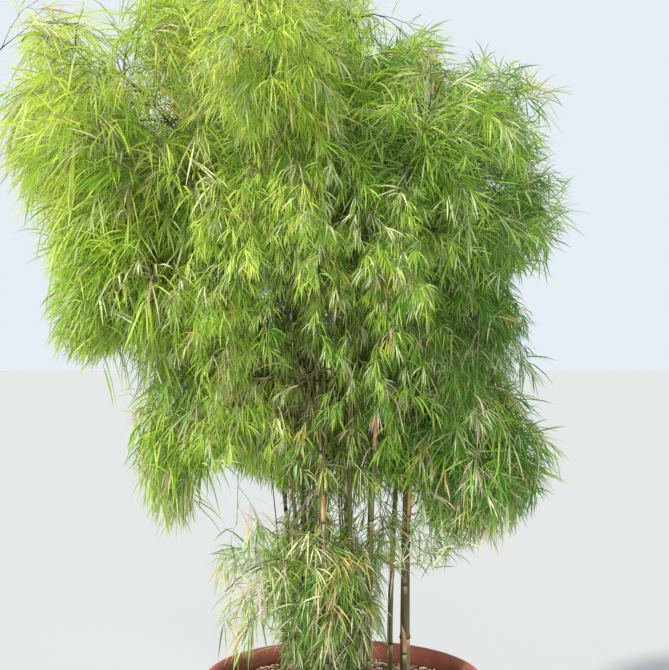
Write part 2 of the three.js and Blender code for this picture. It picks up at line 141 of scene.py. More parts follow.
class Shader:
    """One node material under construction."""

    def __init__(self, name: str) -> None:
        """Starts a material of that name with an empty node tree.

        Args:
            name: The material's name.
        """
        self.material = bpy.data.materials.new(name)
        self.material.use_nodes = True
        self.tree = self.material.node_tree
        self.tree.nodes.clear()

    def node(
        self,
        kind: str,
        settings: dict[str, Any] | None = None,
        inputs: dict[Any, Any] | None = None,
        output: Any = 0,
    ) -> Socket:
        """Adds a node.

        Args:
            kind: The node's type name.
            settings: Properties that are set before the sockets.
            inputs: Values or sockets by socket name or number.
            output: The name or number of the output that is wanted.

        Returns:
            That output.
        """
        made = self.tree.nodes.new(kind)
        for key, value in (settings or {}).items():
            setattr(made, key, value)
        for key, value in (inputs or {}).items():
            socket = made.inputs[key]
            if isinstance(value, Socket):
                self.tree.links.new(value.output, socket)
            elif socket.type == "RGBA":
                socket.default_value = (*value, 1.0)
            else:
                socket.default_value = value
        return Socket(self, made.outputs[output])

    def own(self) -> Socket:
        """The object's own coordinates."""
        return self.node("ShaderNodeTexCoord", output="Object")

    def place(self, scale: Place = (1.0, 1.0, 1.0)) -> Socket:
        """The object's own coordinates, scaled along each axis."""
        return self.node("ShaderNodeMapping", None, {"Vector": self.own(), "Scale": scale})

    def height(self) -> Socket:
        """The height over the pot's underside."""
        return self.node("ShaderNodeSeparateXYZ", None, {"Vector": self.own()}, "Z")

    def attribute(self, name: str) -> Socket:
        """A number that the mesh carries at its points."""
        return self.node("ShaderNodeAttribute", {"attribute_name": name}, output="Fac")

    def noise(self, where: Socket, scale: float, detail: float, roughness: float = 0.55) -> Socket:
        """Fractal noise from 0 to 1.

        Args:
            where: The coordinates at which it is read.
            scale: How many of its broadest waves fill a metre.
            detail: How many finer layers it has.
            roughness: How strong each finer layer is.

        Returns:
            The noise.
        """
        inputs = {"Vector": where, "Scale": scale, "Detail": detail, "Roughness": roughness}
        return self.node("ShaderNodeTexNoise", None, inputs, "Fac")

    def blend(self, first: Any, second: Any, share: Any) -> Socket:
        """Two colours mixed by a share of the second."""
        inputs = {"Factor": share, 6: first, 7: second}
        return self.node("ShaderNodeMix", {"data_type": "RGBA"}, inputs, 2)

    def coats(self, body: Socket, *coats: tuple[Colour, Socket]) -> Socket:
        """Lays coats of colour over a body, in order.

        Args:
            body: The colour underneath.
            coats: Each coat's colour and how much of it shows from place to place.

        Returns:
            The coated colour.
        """
        for colour, share in coats:
            body = self.blend(body, colour, share)
        return body

    def bump(self, height: Socket, distance: float, strength: float = 1.0) -> Socket:
        """A bumped normal from a height in units of distance."""
        inputs = {"Height": height, "Distance": distance, "Strength": strength}
        return self.node("ShaderNodeBump", None, inputs)

    def principled(
        self, colour: Any, roughness: Any, specular: float = 0.5, normal: Socket | None = None
    ) -> Socket:
        """The surface that all but glowing finishes end in.

        Args:
            colour: The base colour.
            roughness: The roughness.
            specular: How strongly it mirrors, 0.5 being plain.
            normal: The bumped normal, where there is one.

        Returns:
            The surface.
        """
        inputs = {"Base Color": colour, "Roughness": roughness, "Specular IOR Level": specular}
        if normal is not None:
            inputs["Normal"] = normal
        return self.node("ShaderNodeBsdfPrincipled", None, inputs)

    def finish(self, surface: Socket) -> bpy.types.Material:
        """Links the surface to the output and gives the material back.

        Args:
            surface: The surface that the material shows.

        Returns:
            The material.
        """
        out = self.tree.nodes.new("ShaderNodeOutputMaterial")
        self.tree.links.new(surface.output, out.inputs["Surface"])
        return self.material


# Finishes


class Finish(ABC):
    """How one kind of surface looks."""

    name: str

    @abstractmethod
    def material(self) -> bpy.types.Material:
        """Builds the node material."""


@dataclass(frozen=True)
class TerracottaFinish(Finish):
    """Unglazed red clay: throwing rings, grit, pale bloom, water stains, and painted shade on the inner
    wall.

    Heights are in metres over the pot's underside, and scales are waves in a metre.
    """

    name: str = "terracotta_weathered"
    clay: Colour = hex_colour("AD6450")
    dark_clay: Colour = hex_colour("844838")
    sunned: Colour = hex_colour("C48A76")
    bloom: Colour = hex_colour("D3B7A8")
    # Water stains low down and at the foot, and painted shade on the inner wall, share this colour.
    damp: Colour = hex_colour("5A3324")
    broad_scale: float = 3.2
    fine_scale: float = 46.0
    grit_scale: float = 420.0
    bloom_scale: float = 7.5
    streak_scale: float = 1.6
    streak_stretch: Place = (9.0, 9.0, 0.9)
    drip_heights: Span = (0.3, 0.6)
    foot_heights: Span = (0.0, 0.11)
    # The heights over which painted shade comes in on the inner wall.
    inner_shade_heights: Span = (0.4, 0.59)
    close_rings: float = 210.0
    wide_rings: float = 74.0
    relief: float = 0.0017

    def material(self) -> bpy.types.Material:
        """Builds the clay with its stains, its painted inner shade and its rings.

        Returns:
            The material.
        """
        sh = Shader(self.name)
        where = sh.place()
        height = sh.height()
        broad = sh.noise(where, self.broad_scale, 5.0, 0.6)
        fine = sh.noise(where, self.fine_scale, 5.0, 0.7)
        grit = sh.noise(where, self.grit_scale, 2.0, 0.6)
        cloud = sh.noise(where, self.bloom_scale, 8.0, 0.7)
        streak = sh.noise(sh.place(self.streak_stretch), self.streak_scale, 5.0, 0.65)
        drip = streak.step(0.54, 0.8) * (1.0 - height.step(*self.drip_heights))
        foot = (1.0 - height.step(*self.foot_heights)) * broad.step(0.25, 0.7)
        # Painted shade: the inner wall above the soil is darkened.
        inside = sh.attribute("inside") * height.step(*self.inner_shade_heights)
        body = sh.coats(
            sh.blend(self.dark_clay, self.clay, broad.step(0.3, 0.62)),
            (self.sunned, (fine * 0.6 + broad * 0.4).step(0.5, 0.72) * 0.55),
            (self.bloom, cloud.step(0.52, 0.74) * streak.step(0.36, 0.66) * 0.65),
            (self.damp, drip * 0.6),
            (self.damp, foot * 0.5),
            # painted shade on the inner wall
            (self.damp, inside * 0.5),
            (self.dark_clay, grit.step(0.6, 0.8) * 0.3),
        )
        close = (height * self.close_rings + broad * 5.0).sine() * 0.35
        wide = (height * self.wide_rings + fine * 1.2).sine() * 0.3
        normal = sh.bump(close + wide + fine * 1.1 + grit * 0.5, self.relief, 0.9)
        return sh.finish(sh.principled(body, 0.72 + fine * 0.2, 0.3, normal))


@dataclass(frozen=True)
class SoilFinish(Finish):
    """Damp, crumbly potting soil; scales are crumbs or waves in a metre."""

    name: str = "soil_damp"
    dark: Colour = hex_colour("3A2C22")
    crumb: Colour = hex_colour("6B5441")
    pale: Colour = hex_colour("9C866A")
    crumb_scale: float = 95.0
    grain_scale: float = 160.0
    patch_scale: float = 9.0
    relief: float = 0.006

    def material(self) -> bpy.types.Material:
        """Builds the soil in crumbs of three browns.

        Returns:
            The material.
        """
        sh = Shader(self.name)
        where = sh.place()
        cells = {"Vector": where, "Scale": self.crumb_scale}
        crumbs = sh.node("ShaderNodeTexVoronoi", None, cells, "Distance")
        grain = sh.noise(where, self.grain_scale, 4.0, 0.7)
        patch = sh.noise(where, self.patch_scale, 4.0)
        body = sh.coats(
            sh.blend(self.dark, self.crumb, (crumbs * 0.8 + grain * 0.5).step(0.3, 0.85)),
            (self.pale, grain.step(0.62, 0.78) * patch.step(0.35, 0.7)),
        )
        normal = sh.bump(crumbs * -1.0 + grain * 0.6, self.relief)
        return sh.finish(sh.principled(body, 0.95, 0.2, normal))


@dataclass(frozen=True)
class CaneFinish(Finish):
    """Smooth cane skin: olive to straw by its age, with bloom, scars and mottles."""

    name: str = "cane_skin"
    young: Colour = hex_colour("666B3A")
    old: Colour = hex_colour("4A4028")
    straw: Colour = hex_colour("857A4C")
    scar: Colour = hex_colour("3A2A1C")
    bloom: Colour = hex_colour("A9A588")
    stripe_stretch: Place = (60.0, 60.0, 3.0)
    patch_scale: float = 14.0
    speck_scale: float = 260.0
    relief: float = 0.0006

    def material(self) -> bpy.types.Material:
        """Builds the skin from the age, node and bloom attributes.

        Returns:
            The material.
        """
        sh = Shader(self.name)
        stripe = sh.noise(sh.place(self.stripe_stretch), 1.0, 4.0, 0.6)
        patch = sh.noise(sh.place(), self.patch_scale, 5.0, 0.65)
        speck = sh.noise(sh.place(), self.speck_scale, 2.0, 0.6)
        aged = (sh.attribute("age") + patch * 0.5 - 0.2).clamped()
        body = sh.coats(
            sh.blend(self.young, self.old, aged),
            (self.straw, (patch * 0.6 + stripe * 0.5).step(0.5, 0.78) * 0.6),
            (self.bloom, sh.attribute("bloom") * 0.5),
            (self.scar, speck.step(0.6, 0.78) * patch.step(0.4, 0.7) * 0.7),
            (self.scar, sh.attribute("node") * 0.75),
        )
        normal = sh.bump(stripe + patch * 0.3, self.relief, 0.7)
        return sh.finish(sh.principled(body, 0.42 + patch * 0.3, 0.45, normal))


@dataclass(frozen=True)
class SheathFinish(Finish):
    """Papery cane sheaths, dry and ribbed."""

    name: str = "sheath_papery"
    tan: Colour = hex_colour("B59A6E")
    rust: Colour = hex_colour("7F4B2E")
    rib_stretch: Place = (240.0, 240.0, 6.0)
    patch_scale: float = 16.0
    relief: float = 0.0008

    def material(self) -> bpy.types.Material:
        """Builds the ribbed, two-tone sheath.

        Returns:
            The material.
        """
        sh = Shader(self.name)
        ribs = sh.noise(sh.place(self.rib_stretch), 1.0, 2.0, 0.6)
        patch = sh.noise(sh.place(), self.patch_scale, 4.0)
        body = sh.blend(self.rust, self.tan, (ribs * 0.5 + patch * 0.7).step(0.4, 0.78))
        return sh.finish(sh.principled(body, 0.75, normal=sh.bump(ribs, self.relief)))


@dataclass(frozen=True)
class PlainFinish(Finish):
    """One plain tint, for the floor and for small things that are dealt out by the spray."""

    name: str
    colour: Colour
    roughness: float = 0.6
    glow: float = 0.0
    glow_tint: Colour = (1.35, 1.3, 0.7)

    def material(self) -> bpy.types.Material:
        """Builds the tint, with a share of light let through where it glows.

        Returns:
            The material.
        """
        sh = Shader(self.name)
        surface = sh.principled(self.colour, self.roughness)
        if self.glow:
            through = tuple(min(1.0, v * k) for v, k in zip(self.colour, self.glow_tint))
            lit = sh.node("ShaderNodeBsdfTranslucent", None, {"Color": through})
            surface = sh.node("ShaderNodeMixShader", None, {0: self.glow, 1: surface, 2: lit})
        return sh.finish(surface)


class LeafTint(Enum):
    """The tints that are dealt out among the sprays of leaves; DEEP to LIME are one green in painted
    shade and painted light.
    """

    DEEP = PlainFinish("leaf_deep_green", hex_colour("568A32"), 0.5, 0.45)
    MIDDLE = PlainFinish("leaf_middle_green", hex_colour("78A63B"), 0.5, 0.45)
    FRESH = PlainFinish("leaf_fresh_green", hex_colour("9CBF48"), 0.5, 0.45)
    LIME = PlainFinish("leaf_lime", hex_colour("C3D662"), 0.5, 0.42)
    PALE = PlainFinish("leaf_pale_straw", hex_colour("D2D2AC"), 0.6, 0.2)
    GOLD = PlainFinish("leaf_gold", hex_colour("C2A860"), 0.6, 0.15)
    DRY = PlainFinish("leaf_dry", hex_colour("B7A28E"), 0.7, 0.1)
    SAGE = PlainFinish("leaf_sage", hex_colour("A9B88A"), 0.55, 0.3)


class TwigTint(Enum):
    """The tints of twigs."""

    OLIVE = PlainFinish("twig_olive", hex_colour("6F7442"), 0.6)
    TAN = PlainFinish("twig_tan", hex_colour("A08A70"), 0.7)
    DARK = PlainFinish("twig_dark", hex_colour("4A4529"), 0.7)
    STRAW = PlainFinish("twig_straw", hex_colour("C4B78C"), 0.7)


class ChipTint(Enum):
    """The tints of the mulch of chips."""

    PALE = PlainFinish("chip_pale", hex_colour("D2BC9A"), 0.85)
    TAN = PlainFinish("chip_tan", hex_colour("AD8D6B"), 0.85)
    BROWN = PlainFinish("chip_brown", hex_colour("63483A"), 0.9)
    DARK = PlainFinish("chip_dark", hex_colour("3B2A22"), 0.9)


def finishes(choice: type[Enum]) -> list[Finish]:
    """The finishes of one choice of tints."""
    return [tint.value for tint in choice]


def number(option: Enum) -> int:
    """The place of an option in its own choice, counted from 0."""
    return list(type(option)).index(option)


# Mesh helpers


def unit(vectors: np.ndarray) -> np.ndarray:
    """Vectors of length one along the last axis."""
    return vectors / np.maximum(np.linalg.norm(vectors, axis=-1, keepdims=True), 1e-9)


def headings(azimuth: np.ndarray, tilt: np.ndarray) -> np.ndarray:
    """Unit vectors from azimuths and tilts in radians."""
    level = np.sin(tilt)
    return np.stack([np.cos(azimuth) * level, np.sin(azimuth) * level, np.cos(tilt)], axis=-1)


def crosswise(directions: np.ndarray) -> np.ndarray:
    """Level unit vectors square to directions.

    Args:
        directions: Unit vectors along the last axis.

    Returns:
        The level vectors, which are +X where a direction is upright.
    """
    side = np.cross(directions, -DOWN)
    upright = np.linalg.norm(side, axis=-1, keepdims=True) < 1e-4
    return unit(np.where(upright, np.array([1.0, 0.0, 0.0]), side))


def unevenness(place: Vector, layers: Place) -> float:
    """Two layers of noise at a place.

    Args:
        place: The place.
        layers: The waves in a metre of the broad and of the fine layer, and the fine one's share.

    Returns:
        The sum, about 0.
    """
    broad, fine, share = layers
    return noise.noise(place * broad) + share * noise.noise(place * fine)


def placed(name: str, data: bpy.types.ID) -> bpy.types.Object:
    """Puts a new object with that data into the scene.

    Args:
        name: The object's name.
        data: Its mesh, light or camera.

    Returns:
        The object.
    """
    thing = bpy.data.objects.new(name, data)
    bpy.context.scene.collection.objects.link(thing)
    return thing


def dress(mesh: bpy.types.Mesh, coats: Iterable[Finish]) -> None:
    """Gives a mesh its finishes; each finish is one material, however many pieces have it."""
    for finish in coats:
        mesh.materials.append(bpy.data.materials.get(finish.name) or finish.material())


def mesh_piece(
    name: str,
    points: np.ndarray,
    faces: Iterable[np.ndarray],
    tints: Sequence[Finish],
    deal: np.ndarray,
) -> bpy.types.Object:
    """Joins arrays of faces into one shown mesh.

    Args:
        name: The piece's name.
        points: The points, one row each.
        faces: Arrays of point numbers, one row a face, with one width an array.
        tints: The finishes that the faces take.
        deal: The number of each face's finish, in the order of the faces.

    Returns:
        The new object.
    """
    blocks = [np.asarray(block, dtype=np.int32) for block in faces if len(block)]
    sizes = np.concatenate([np.full(len(block), block.shape[1]) for block in blocks])
    corners = np.concatenate([block.ravel() for block in blocks])
    mesh = bpy.data.meshes.new(name)
    mesh.vertices.add(len(points))
    mesh.vertices.foreach_set("co", np.asarray(points, dtype=np.float32).ravel())
    mesh.loops.add(len(corners))
    mesh.loops.foreach_set("vertex_index", corners)
    mesh.polygons.add(len(sizes))
    starts = np.concatenate([[0], np.cumsum(sizes)[:-1]])
    mesh.polygons.foreach_set("loop_start", starts.astype(np.int32))
    dress(mesh, tints)
    mesh.polygons.foreach_set("material_index", np.asarray(deal, dtype=np.int32))
    mesh.update(calc_edges=True)
    mesh.shade_smooth()
    return placed(name, mesh)


def bmesh_piece(name: str, bm: bmesh.types.BMesh, finish: Finish) -> bpy.types.Object:
    """Turns a bmesh into a shown object.

    Args:
        name: The piece's name.
        bm: The bmesh, which is used up.
        finish: The piece's one finish.

    Returns:
        The new object.
    """
    mesh = bpy.data.meshes.new(name)
    bm.to_mesh(mesh)
    bm.free()
    mesh.shade_smooth()
    dress(mesh, [finish])
    return placed(name, mesh)


def settle(piece: bpy.types.Object, nodes: Sequence[str] = ()) -> None:
    """Fixes a piece to the root and reports it.

    Args:
        piece: The piece.
        nodes: The nodes of the solids that it stands for.
    """
    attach(piece, "root")
    if nodes:
        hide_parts(*nodes)
    log.info("%s: %d faces for %d nodes", piece.name, len(piece.data.polygons), len(nodes))


def turned(profile: Sequence[Span], steps: int) -> bmesh.types.BMesh:
    """Spins a profile round +Z.

    Args:
        profile: Pairs of radius and height, the first and the last of them on the axis.
        steps: The number of steps round.

    Returns:
        The closed shape, with its faces pointing outwards.
    """
    bm = bmesh.new()
    row = [bm.verts.new((radius, 0.0, height)) for radius, height in profile]
    edges = [bm.edges.new(pair) for pair in zip(row, row[1:])]
    bmesh.ops.spin(
        bm,
        geom=row + edges,
        cent=(0.0, 0.0, 0.0),
        axis=(0.0, 0.0, 1.0),
        angle=2 * pi,
        steps=steps,
        use_merge=True,
    )
    bmesh.ops.remove_doubles(bm, verts=bm.verts, dist=1e-5)
    bmesh.ops.recalc_face_normals(bm, faces=bm.faces)
    return bm


# Pot, soil and mulch


@dataclass
class Pot:
    """A bellied, hand-thrown bowl with a flat foot, a neck and a rolled rim.

    Lengths are in metres and angles in degrees. A pull is how far the belly's curve is drawn out,
    and at which share of the belly's height.
    """

    height: float = 0.630
    foot_radius: float = 0.250
    foot_round: float = 0.014
    under_shares: tuple[float, ...] = (0.0, 0.3, 0.6, 0.85)
    heel_angles: tuple[float, ...] = (0, 22.5, 45, 67.5)
    belly_radius: float = 0.408
    belly_height: float = 0.375
    lower_pull: Span = (-0.045, 0.4)
    upper_pull: Span = (0.022, 0.92)
    neck_radius: float = 0.371
    neck_drop: float = 1.3
    rim_radius: float = 0.400
    roll_radius: float = 0.027
    roll_start: float = -75
    roll_sweep: float = 255
    wall: float = 0.024
    floor: float = 0.030
    steps: int = 128
    outer_steps: int = 30
    inner_steps: int = 14
    roll_steps: int = 18
    wobble: float = 0.0016
    wobble_layers: Place = (5.0, 14.0, 0.4)
    inside_facing: float = 0.02

    def belly(self, count: int) -> list[Span]:
        """Points up the outside from the foot to the neck, along a cubic curve.

        Args:
            count: The number of steps between them.

        Returns:
            Pairs of radius and height.
        """
        roll_height = self.height - self.roll_radius
        handles = [
            (self.belly_radius + out, self.belly_height * share)
            for out, share in (self.lower_pull, self.upper_pull)
        ]
        neck = (self.neck_radius, roll_height - self.roll_radius * self.neck_drop)
        corners = [(self.foot_radius, self.foot_round), *handles, neck]
        row = []
        for i in range(count + 1):
            t = i / count
            weights = [(1 - t) ** 3, 3 * t * (1 - t) ** 2, 3 * t * t * (1 - t), t**3]
            row.append(tuple(sum(w * c[k] for w, c in zip(weights, corners)) for k in (0, 1)))
        return row

    def roll(self) -> list[Span]:
        """Points round the rolled rim, from under it outside to its inner side.

        Returns:
            Pairs of radius and height.
        """
        radius, height = self.rim_radius - self.roll_radius, self.height - self.roll_radius
        row = []
        for i in range(self.roll_steps + 1):
            angle = radians(self.roll_start + self.roll_sweep * i / self.roll_steps)
            row.append((radius + self.roll_radius * cos(angle), height + self.roll_radius * sin(angle)))
        return row

    def profile(self) -> list[Span]:
        """The whole closed section from the underside's centre to the floor's centre.

        Returns:
            Pairs of radius and height.
        """
        under = [(self.foot_radius * share, 0.0) for share in self.under_shares]
        heel = []
        for angle in self.heel_angles:
            inward = self.foot_round * (1 - sin(radians(angle)))
            heel.append((self.foot_radius - inward, self.foot_round * (1 - cos(radians(angle)))))
        outer = self.belly(self.outer_steps)
        inner = [(r - self.wall, z) for r, z in reversed(self.belly(self.inner_steps)[1:])]
        base = (self.foot_radius - self.wall, self.floor)
        return [*under, *heel, *outer, *self.roll(), *inner, base, (0.0, self.floor)]

    def build(self) -> None:
        """Turns the pot, gives it a thrower's slight wobble and marks its inside for the clay's painted
        shade.
        """
        bm = turned(self.profile(), self.steps)
        for vert in bm.verts:
            if vert.co.z > self.foot_round:
                sway = unevenness(vert.co, self.wobble_layers)
                level = Vector((vert.co.x, vert.co.y, 0.0)).normalized()
                vert.co += level * sway * self.wobble
        bm.normal_update()
        inside = bm.verts.layers.float.new("inside")
        for vert in bm.verts:
            outward = vert.normal.dot(Vector((vert.co.x, vert.co.y, 0.0)))
            facing = outward < -self.inside_facing
            vert[inside] = 1.0 if facing and vert.co.z > self.floor * 0.5 else 0.0
        settle(bmesh_piece("pot_turned", bm, TerracottaFinish()), ["pot"])


@dataclass
class Soil:
    """The soil that fills the pot, crumbly on top, and its mulch of chips and fallen leaves.

    Lengths are in metres. Widths and thicknesses of chips are shares of their length, and their
    wear is what a corner loses or gains. The fallen leaves' tilt is in degrees, and what it
    differs by is in radians.
    """

    flat_radius: float = 0.245
    flat_height: float = 0.594
    edge_height: float = 0.579
    wall_radius: float = 0.344
    side_slope: float = 0.006
    depth: float = 0.10
    rings: int = 34
    steps: int = 120
    relief: float = 0.0045
    relief_layers: Place = (22.0, 70.0, 0.6)
    chips: int = 2700
    chip_margin: float = 0.012
    chip_lift: float = 0.0025
    chip_length: Span = (0.006, 0.024)
    chip_shortness: float = 1.6
    chip_width: Span = (0.2, 0.5)
    chip_thickness: Span = (0.1, 0.22)
    chip_thickness_limits: Span = (0.0012, 0.004)
    chip_tip: float = 0.22
    chip_roll: float = 0.35
    chip_wear: Span = (-0.45, 0.25)
    chip_tints: tuple[float, ...] = (0.2, 0.32, 0.28, 0.2)
    fallen: int = 150
    fallen_margin: float = 0.09
    fallen_lift: float = 0.006
    fallen_length: Span = (0.035, 0.08)
    fallen_width: Span = (0.0035, 0.0055)
    fallen_tilt: float = 88
    fallen_tip: float = 0.05
    fallen_sag: float = 0.05
    fallen_tints: tuple[LeafTint, ...] = (LeafTint.PALE, LeafTint.GOLD, LeafTint.DRY)
    seed: int = 71

    def surface_height(self, radius: float) -> float:
        """The height of the soil at a distance from the pot's axis."""
        share = (radius - self.flat_radius) / (self.wall_radius - self.flat_radius)
        return self.flat_height + (self.edge_height - self.flat_height) * min(max(share, 0.0), 1.0)

    def bumped_height(self, x: float, y: float) -> float:
        """The crumbled surface's height at a place."""
        where = Vector((x, y, 0.0))
        return self.surface_height(where.length) + self.relief * unevenness(where, self.relief_layers)

    def strewn(self, count: int, reach: float, lift: float, rng: np.random.Generator) -> np.ndarray:
        """Places strewn evenly over the soil.

        Args:
            count: How many there are.
            reach: How far from the axis they may lie.
            lift: How far over the soil they lie.
            rng: The seeded source of the places.

        Returns:
            The places, one row each.
        """
        radius = reach * np.sqrt(rng.random(count))
        angle = rng.random(count) * 2 * pi
        spots = np.stack([radius * np.cos(angle), radius * np.sin(angle), np.zeros(count)], axis=1)
        spots[:, 2] = [self.bumped_height(x, y) + lift for x, y in spots[:, :2]]
        return spots

    def build(self) -> None:
        """Builds the soil, the chips and the fallen leaves."""
        radii = [self.wall_radius * i / self.rings for i in range(self.rings + 1)]
        bottom = self.edge_height - self.depth
        side = [(self.wall_radius - self.side_slope, bottom), (0.0, bottom)]
        bm = turned([*((radius, self.surface_height(radius)) for radius in radii), *side], self.steps)
        for vert in bm.verts:
            if vert.co.z > self.edge_height - self.depth / 2:
                vert.co.z = self.bumped_height(vert.co.x, vert.co.y)
        settle(bmesh_piece("soil_surface", bm, SoilFinish()), ["soil"])
        self.build_chips()
        self.build_fallen()

    def build_chips(self) -> None:
        """Scatters chips of bark and wood, each a worn brick, over the soil."""
        rng = np.random.default_rng(self.seed)
        count = self.chips
        centre = self.strewn(count, self.wall_radius - self.chip_margin, self.chip_lift, rng)
        low, high = self.chip_length
        length = low + (high - low) * rng.random(count) ** self.chip_shortness
        width = length * rng.uniform(*self.chip_width, count)
        thickness = length * rng.uniform(*self.chip_thickness, count)
        thickness = np.clip(thickness, *self.chip_thickness_limits)
        azimuth = rng.random(count) * 2 * pi
        along = headings(azimuth, radians(90) + rng.normal(0, self.chip_tip, count))
        side = unit(crosswise(along) + self.chip_roll * rng.normal(0, 1, (count, 3)) * [0, 0, 1])
        up = np.cross(along, side)
        square = ((-0.5, -0.5), (0.5, -0.5), (0.5, 0.5), (-0.5, 0.5))
        brick = np.array([[x, y, z] for z in (-0.5, 0.5) for x, y in square])
        worn = brick[None] * (1 + rng.uniform(*self.chip_wear, (count, 8, 3)))
        points = centre[:, None]
        for axis, (size, way) in enumerate(((length, along), (width, side), (thickness, up))):
            points = points + worn[:, :, axis : axis + 1] * (size[:, None, None] * way[:, None])
        ends = [[3, 2, 1, 0], [4, 5, 6, 7]]
        quads = np.array([*ends, *([k, (k + 1) % 4, (k + 1) % 4 + 4, k + 4] for k in range(4))])
        faces = (quads[None] + 8 * np.arange(count)[:, None, None]).reshape(-1, 4)
        deal = np.repeat(rng.choice(len(ChipTint), count, p=self.chip_tints), len(quads))
        piece = mesh_piece("mulch_chips", points.reshape(-1, 3), [faces], finishes(ChipTint), deal)
        piece.data.shade_flat()
        settle(piece)

    def build_fallen(self) -> None:
        """Strews dry leaves over the chips."""
        rng = np.random.default_rng(self.seed + 1)
        count = self.fallen
        start = self.strewn(count, self.wall_radius - self.fallen_margin, self.fallen_lift, rng)
        azimuth = rng.random(count) * 2 * pi
        way = headings(azimuth, radians(self.fallen_tilt) + rng.normal(0, self.fallen_tip, count))
        tints = rng.choice([number(tint) for tint in self.fallen_tints], count)
        length = rng.uniform(*self.fallen_length, count)
        sag = np.full(count, self.fallen_sag)
        leaves = Paths.sagging(start, way, length, sag, 3, {"tint": tints})
        batch = Batch()
        blades(batch, leaves, rng.uniform(*self.fallen_width, count), rng)
        settle(batch.piece("fallen_leaves", finishes(LeafTint)))


# Canes


class CaneKind(Enum):
    """The kinds of cane in the clump."""

    ARCHING = "arching"
    UPRIGHT = "upright"
    THICK = "thick"
    SHOOT = "shoot"


@dataclass(frozen=True)
class Ring:
    """One ring of a cane: its place as a share of the length, its radius and its marks."""

    share: float
    radius: float
    near: float = 0.0
    bloom: float = 0.0


@dataclass(frozen=True)
class Ridge:
    """One ring of a node: its offset in metres, its swelling, how dark it is, and its bloom."""

    offset: float
    swell: float
    near: float = 0.0
    bloom: float = 0.0


NODE_RIDGES = (
    Ridge(-0.0300, 1.0),
    Ridge(-0.0120, 1.0, bloom=0.9),
    Ridge(-0.0045, 1.0, bloom=1.0),
    Ridge(-0.0022, 1.03, 0.5, 0.3),
    Ridge(-0.0006, 1.17, 0.9),
    Ridge(0.0010, 1.20, 0.2),
    Ridge(0.0026, 1.07, 1.0),
    Ridge(0.0050, 1.10, 0.3),
    Ridge(0.0085, 1.02),
    Ridge(0.0150, 0.975),
)


@dataclass
class Cane:
    """One cane and the bough beyond it, bending in one upright plane.

    Azimuth, lean and arch are in degrees, and lengths in metres. The lean is reached at a share
    of the length. The first node stands at a share of an internode, and no node past a share of
    the length. Steps between rings are a longest and a usual one.
    """

    name: str
    kind: CaneKind
    foot: Span
    azimuth: float
    length: float
    lean: float
    arch: float
    foot_radius: float
    tip_radius: float
    internode: float
    age: float
    start_height: float = 0.5943
    lean_share: float = 0.25
    taper: float = 0.85
    foot_swell: float = 1.04
    tip_shrink: float = 0.8
    first_node: float = 0.55
    last_node: float = 0.97
    ring_steps: Span = (0.075, 0.06)
    tip_steps: Span = (0.05, 0.04)
    closest: float = 1e-4
    steps: int = 36
    points: np.ndarray = field(init=False)

    def __post_init__(self) -> None:
        """Works out the path."""
        shares = (np.arange(self.steps) + 0.5) / self.steps
        ways = headings(np.full(self.steps, radians(self.azimuth)), self.tilt(shares))
        start = np.array([*self.foot, self.start_height])
        walk = np.cumsum(ways * (self.length / self.steps), axis=0)
        self.points = start + np.vstack([np.zeros(3), walk])

    def tilt(self, share: Any) -> Any:
        """The tilt that a lean and then an arch give.

        Args:
            share: One share of the length, or an array of them.

        Returns:
            The tilt at each in radians.
        """
        eased = np.clip(np.asarray(share) / self.lean_share, 0.0, 1.0)
        eased = eased * eased * (3 - 2 * eased)
        return np.radians(self.lean * eased + self.arch * np.asarray(share) ** 3)

    def at(self, share: float) -> np.ndarray:
        """The point at a share of the length.

        Args:
            share: The share, kept from 0 to 1.

        Returns:
            The point.
        """
        place = min(max(share, 0.0), 1.0) * self.steps
        index = min(int(place), self.steps - 1)
        return self.points[index] + (self.points[index + 1] - self.points[index]) * (place - index)

    def radius(self, share: float) -> float:
        """The radius at a share of the length."""
        return self.foot_radius + (self.tip_radius - self.foot_radius) * share**self.taper

    def nodes(self) -> list[float]:
        """The shares of the length at which the cane has its nodes."""
        spacing = self.internode / self.length
        return [float(s) for s in np.arange(spacing * self.first_node, self.last_node, spacing)]

    def matrix(self, share: float, radius: float) -> Matrix:
        """The matrix that takes a unit ring on the XY plane to its place on the cane.

        Args:
            share: The share of the length.
            radius: The ring's radius there.

        Returns:
            The matrix.
        """
        tilt = float(self.tilt(share))
        turn = Matrix.Rotation(radians(self.azimuth), 4, "Z") @ Matrix.Rotation(tilt, 4, "Y")
        return Matrix.Translation(Vector(self.at(share))) @ turn @ Matrix.Scale(radius, 4)

    def fill(self, rows: list[Ring], end: float, steps: Span) -> None:
        """Adds plain rings a usual step apart until the end is within the longest step.

        Args:
            rows: The rings so far.
            end: The share of the length where the next other ring stands.
            steps: The longest and the usual step.
        """
        longest, step = steps
        while end - rows[-1].share > longest / self.length:
            middle = rows[-1].share + step / self.length
            rows.append(Ring(middle, self.radius(middle)))

    def rings(self) -> list[Ring]:
        """The cane's rings from foot to tip: ridged at the nodes and plain between them.

        Returns:
            The rings, in order.
        """
        rows = [Ring(0.0, self.radius(0.0) * self.foot_swell)]
        for place in self.nodes():
            for ridge in NODE_RIDGES:
                share = place + ridge.offset / self.length
                if rows[-1].share + self.closest < share < 1.0:
                    self.fill(rows, share, self.ring_steps)
                    rows.append(Ring(share, self.radius(share) * ridge.swell, ridge.near, ridge.bloom))
        self.fill(rows, 1.0, self.tip_steps)
        return [*rows, Ring(1.0, self.radius(1.0) * self.tip_shrink)]


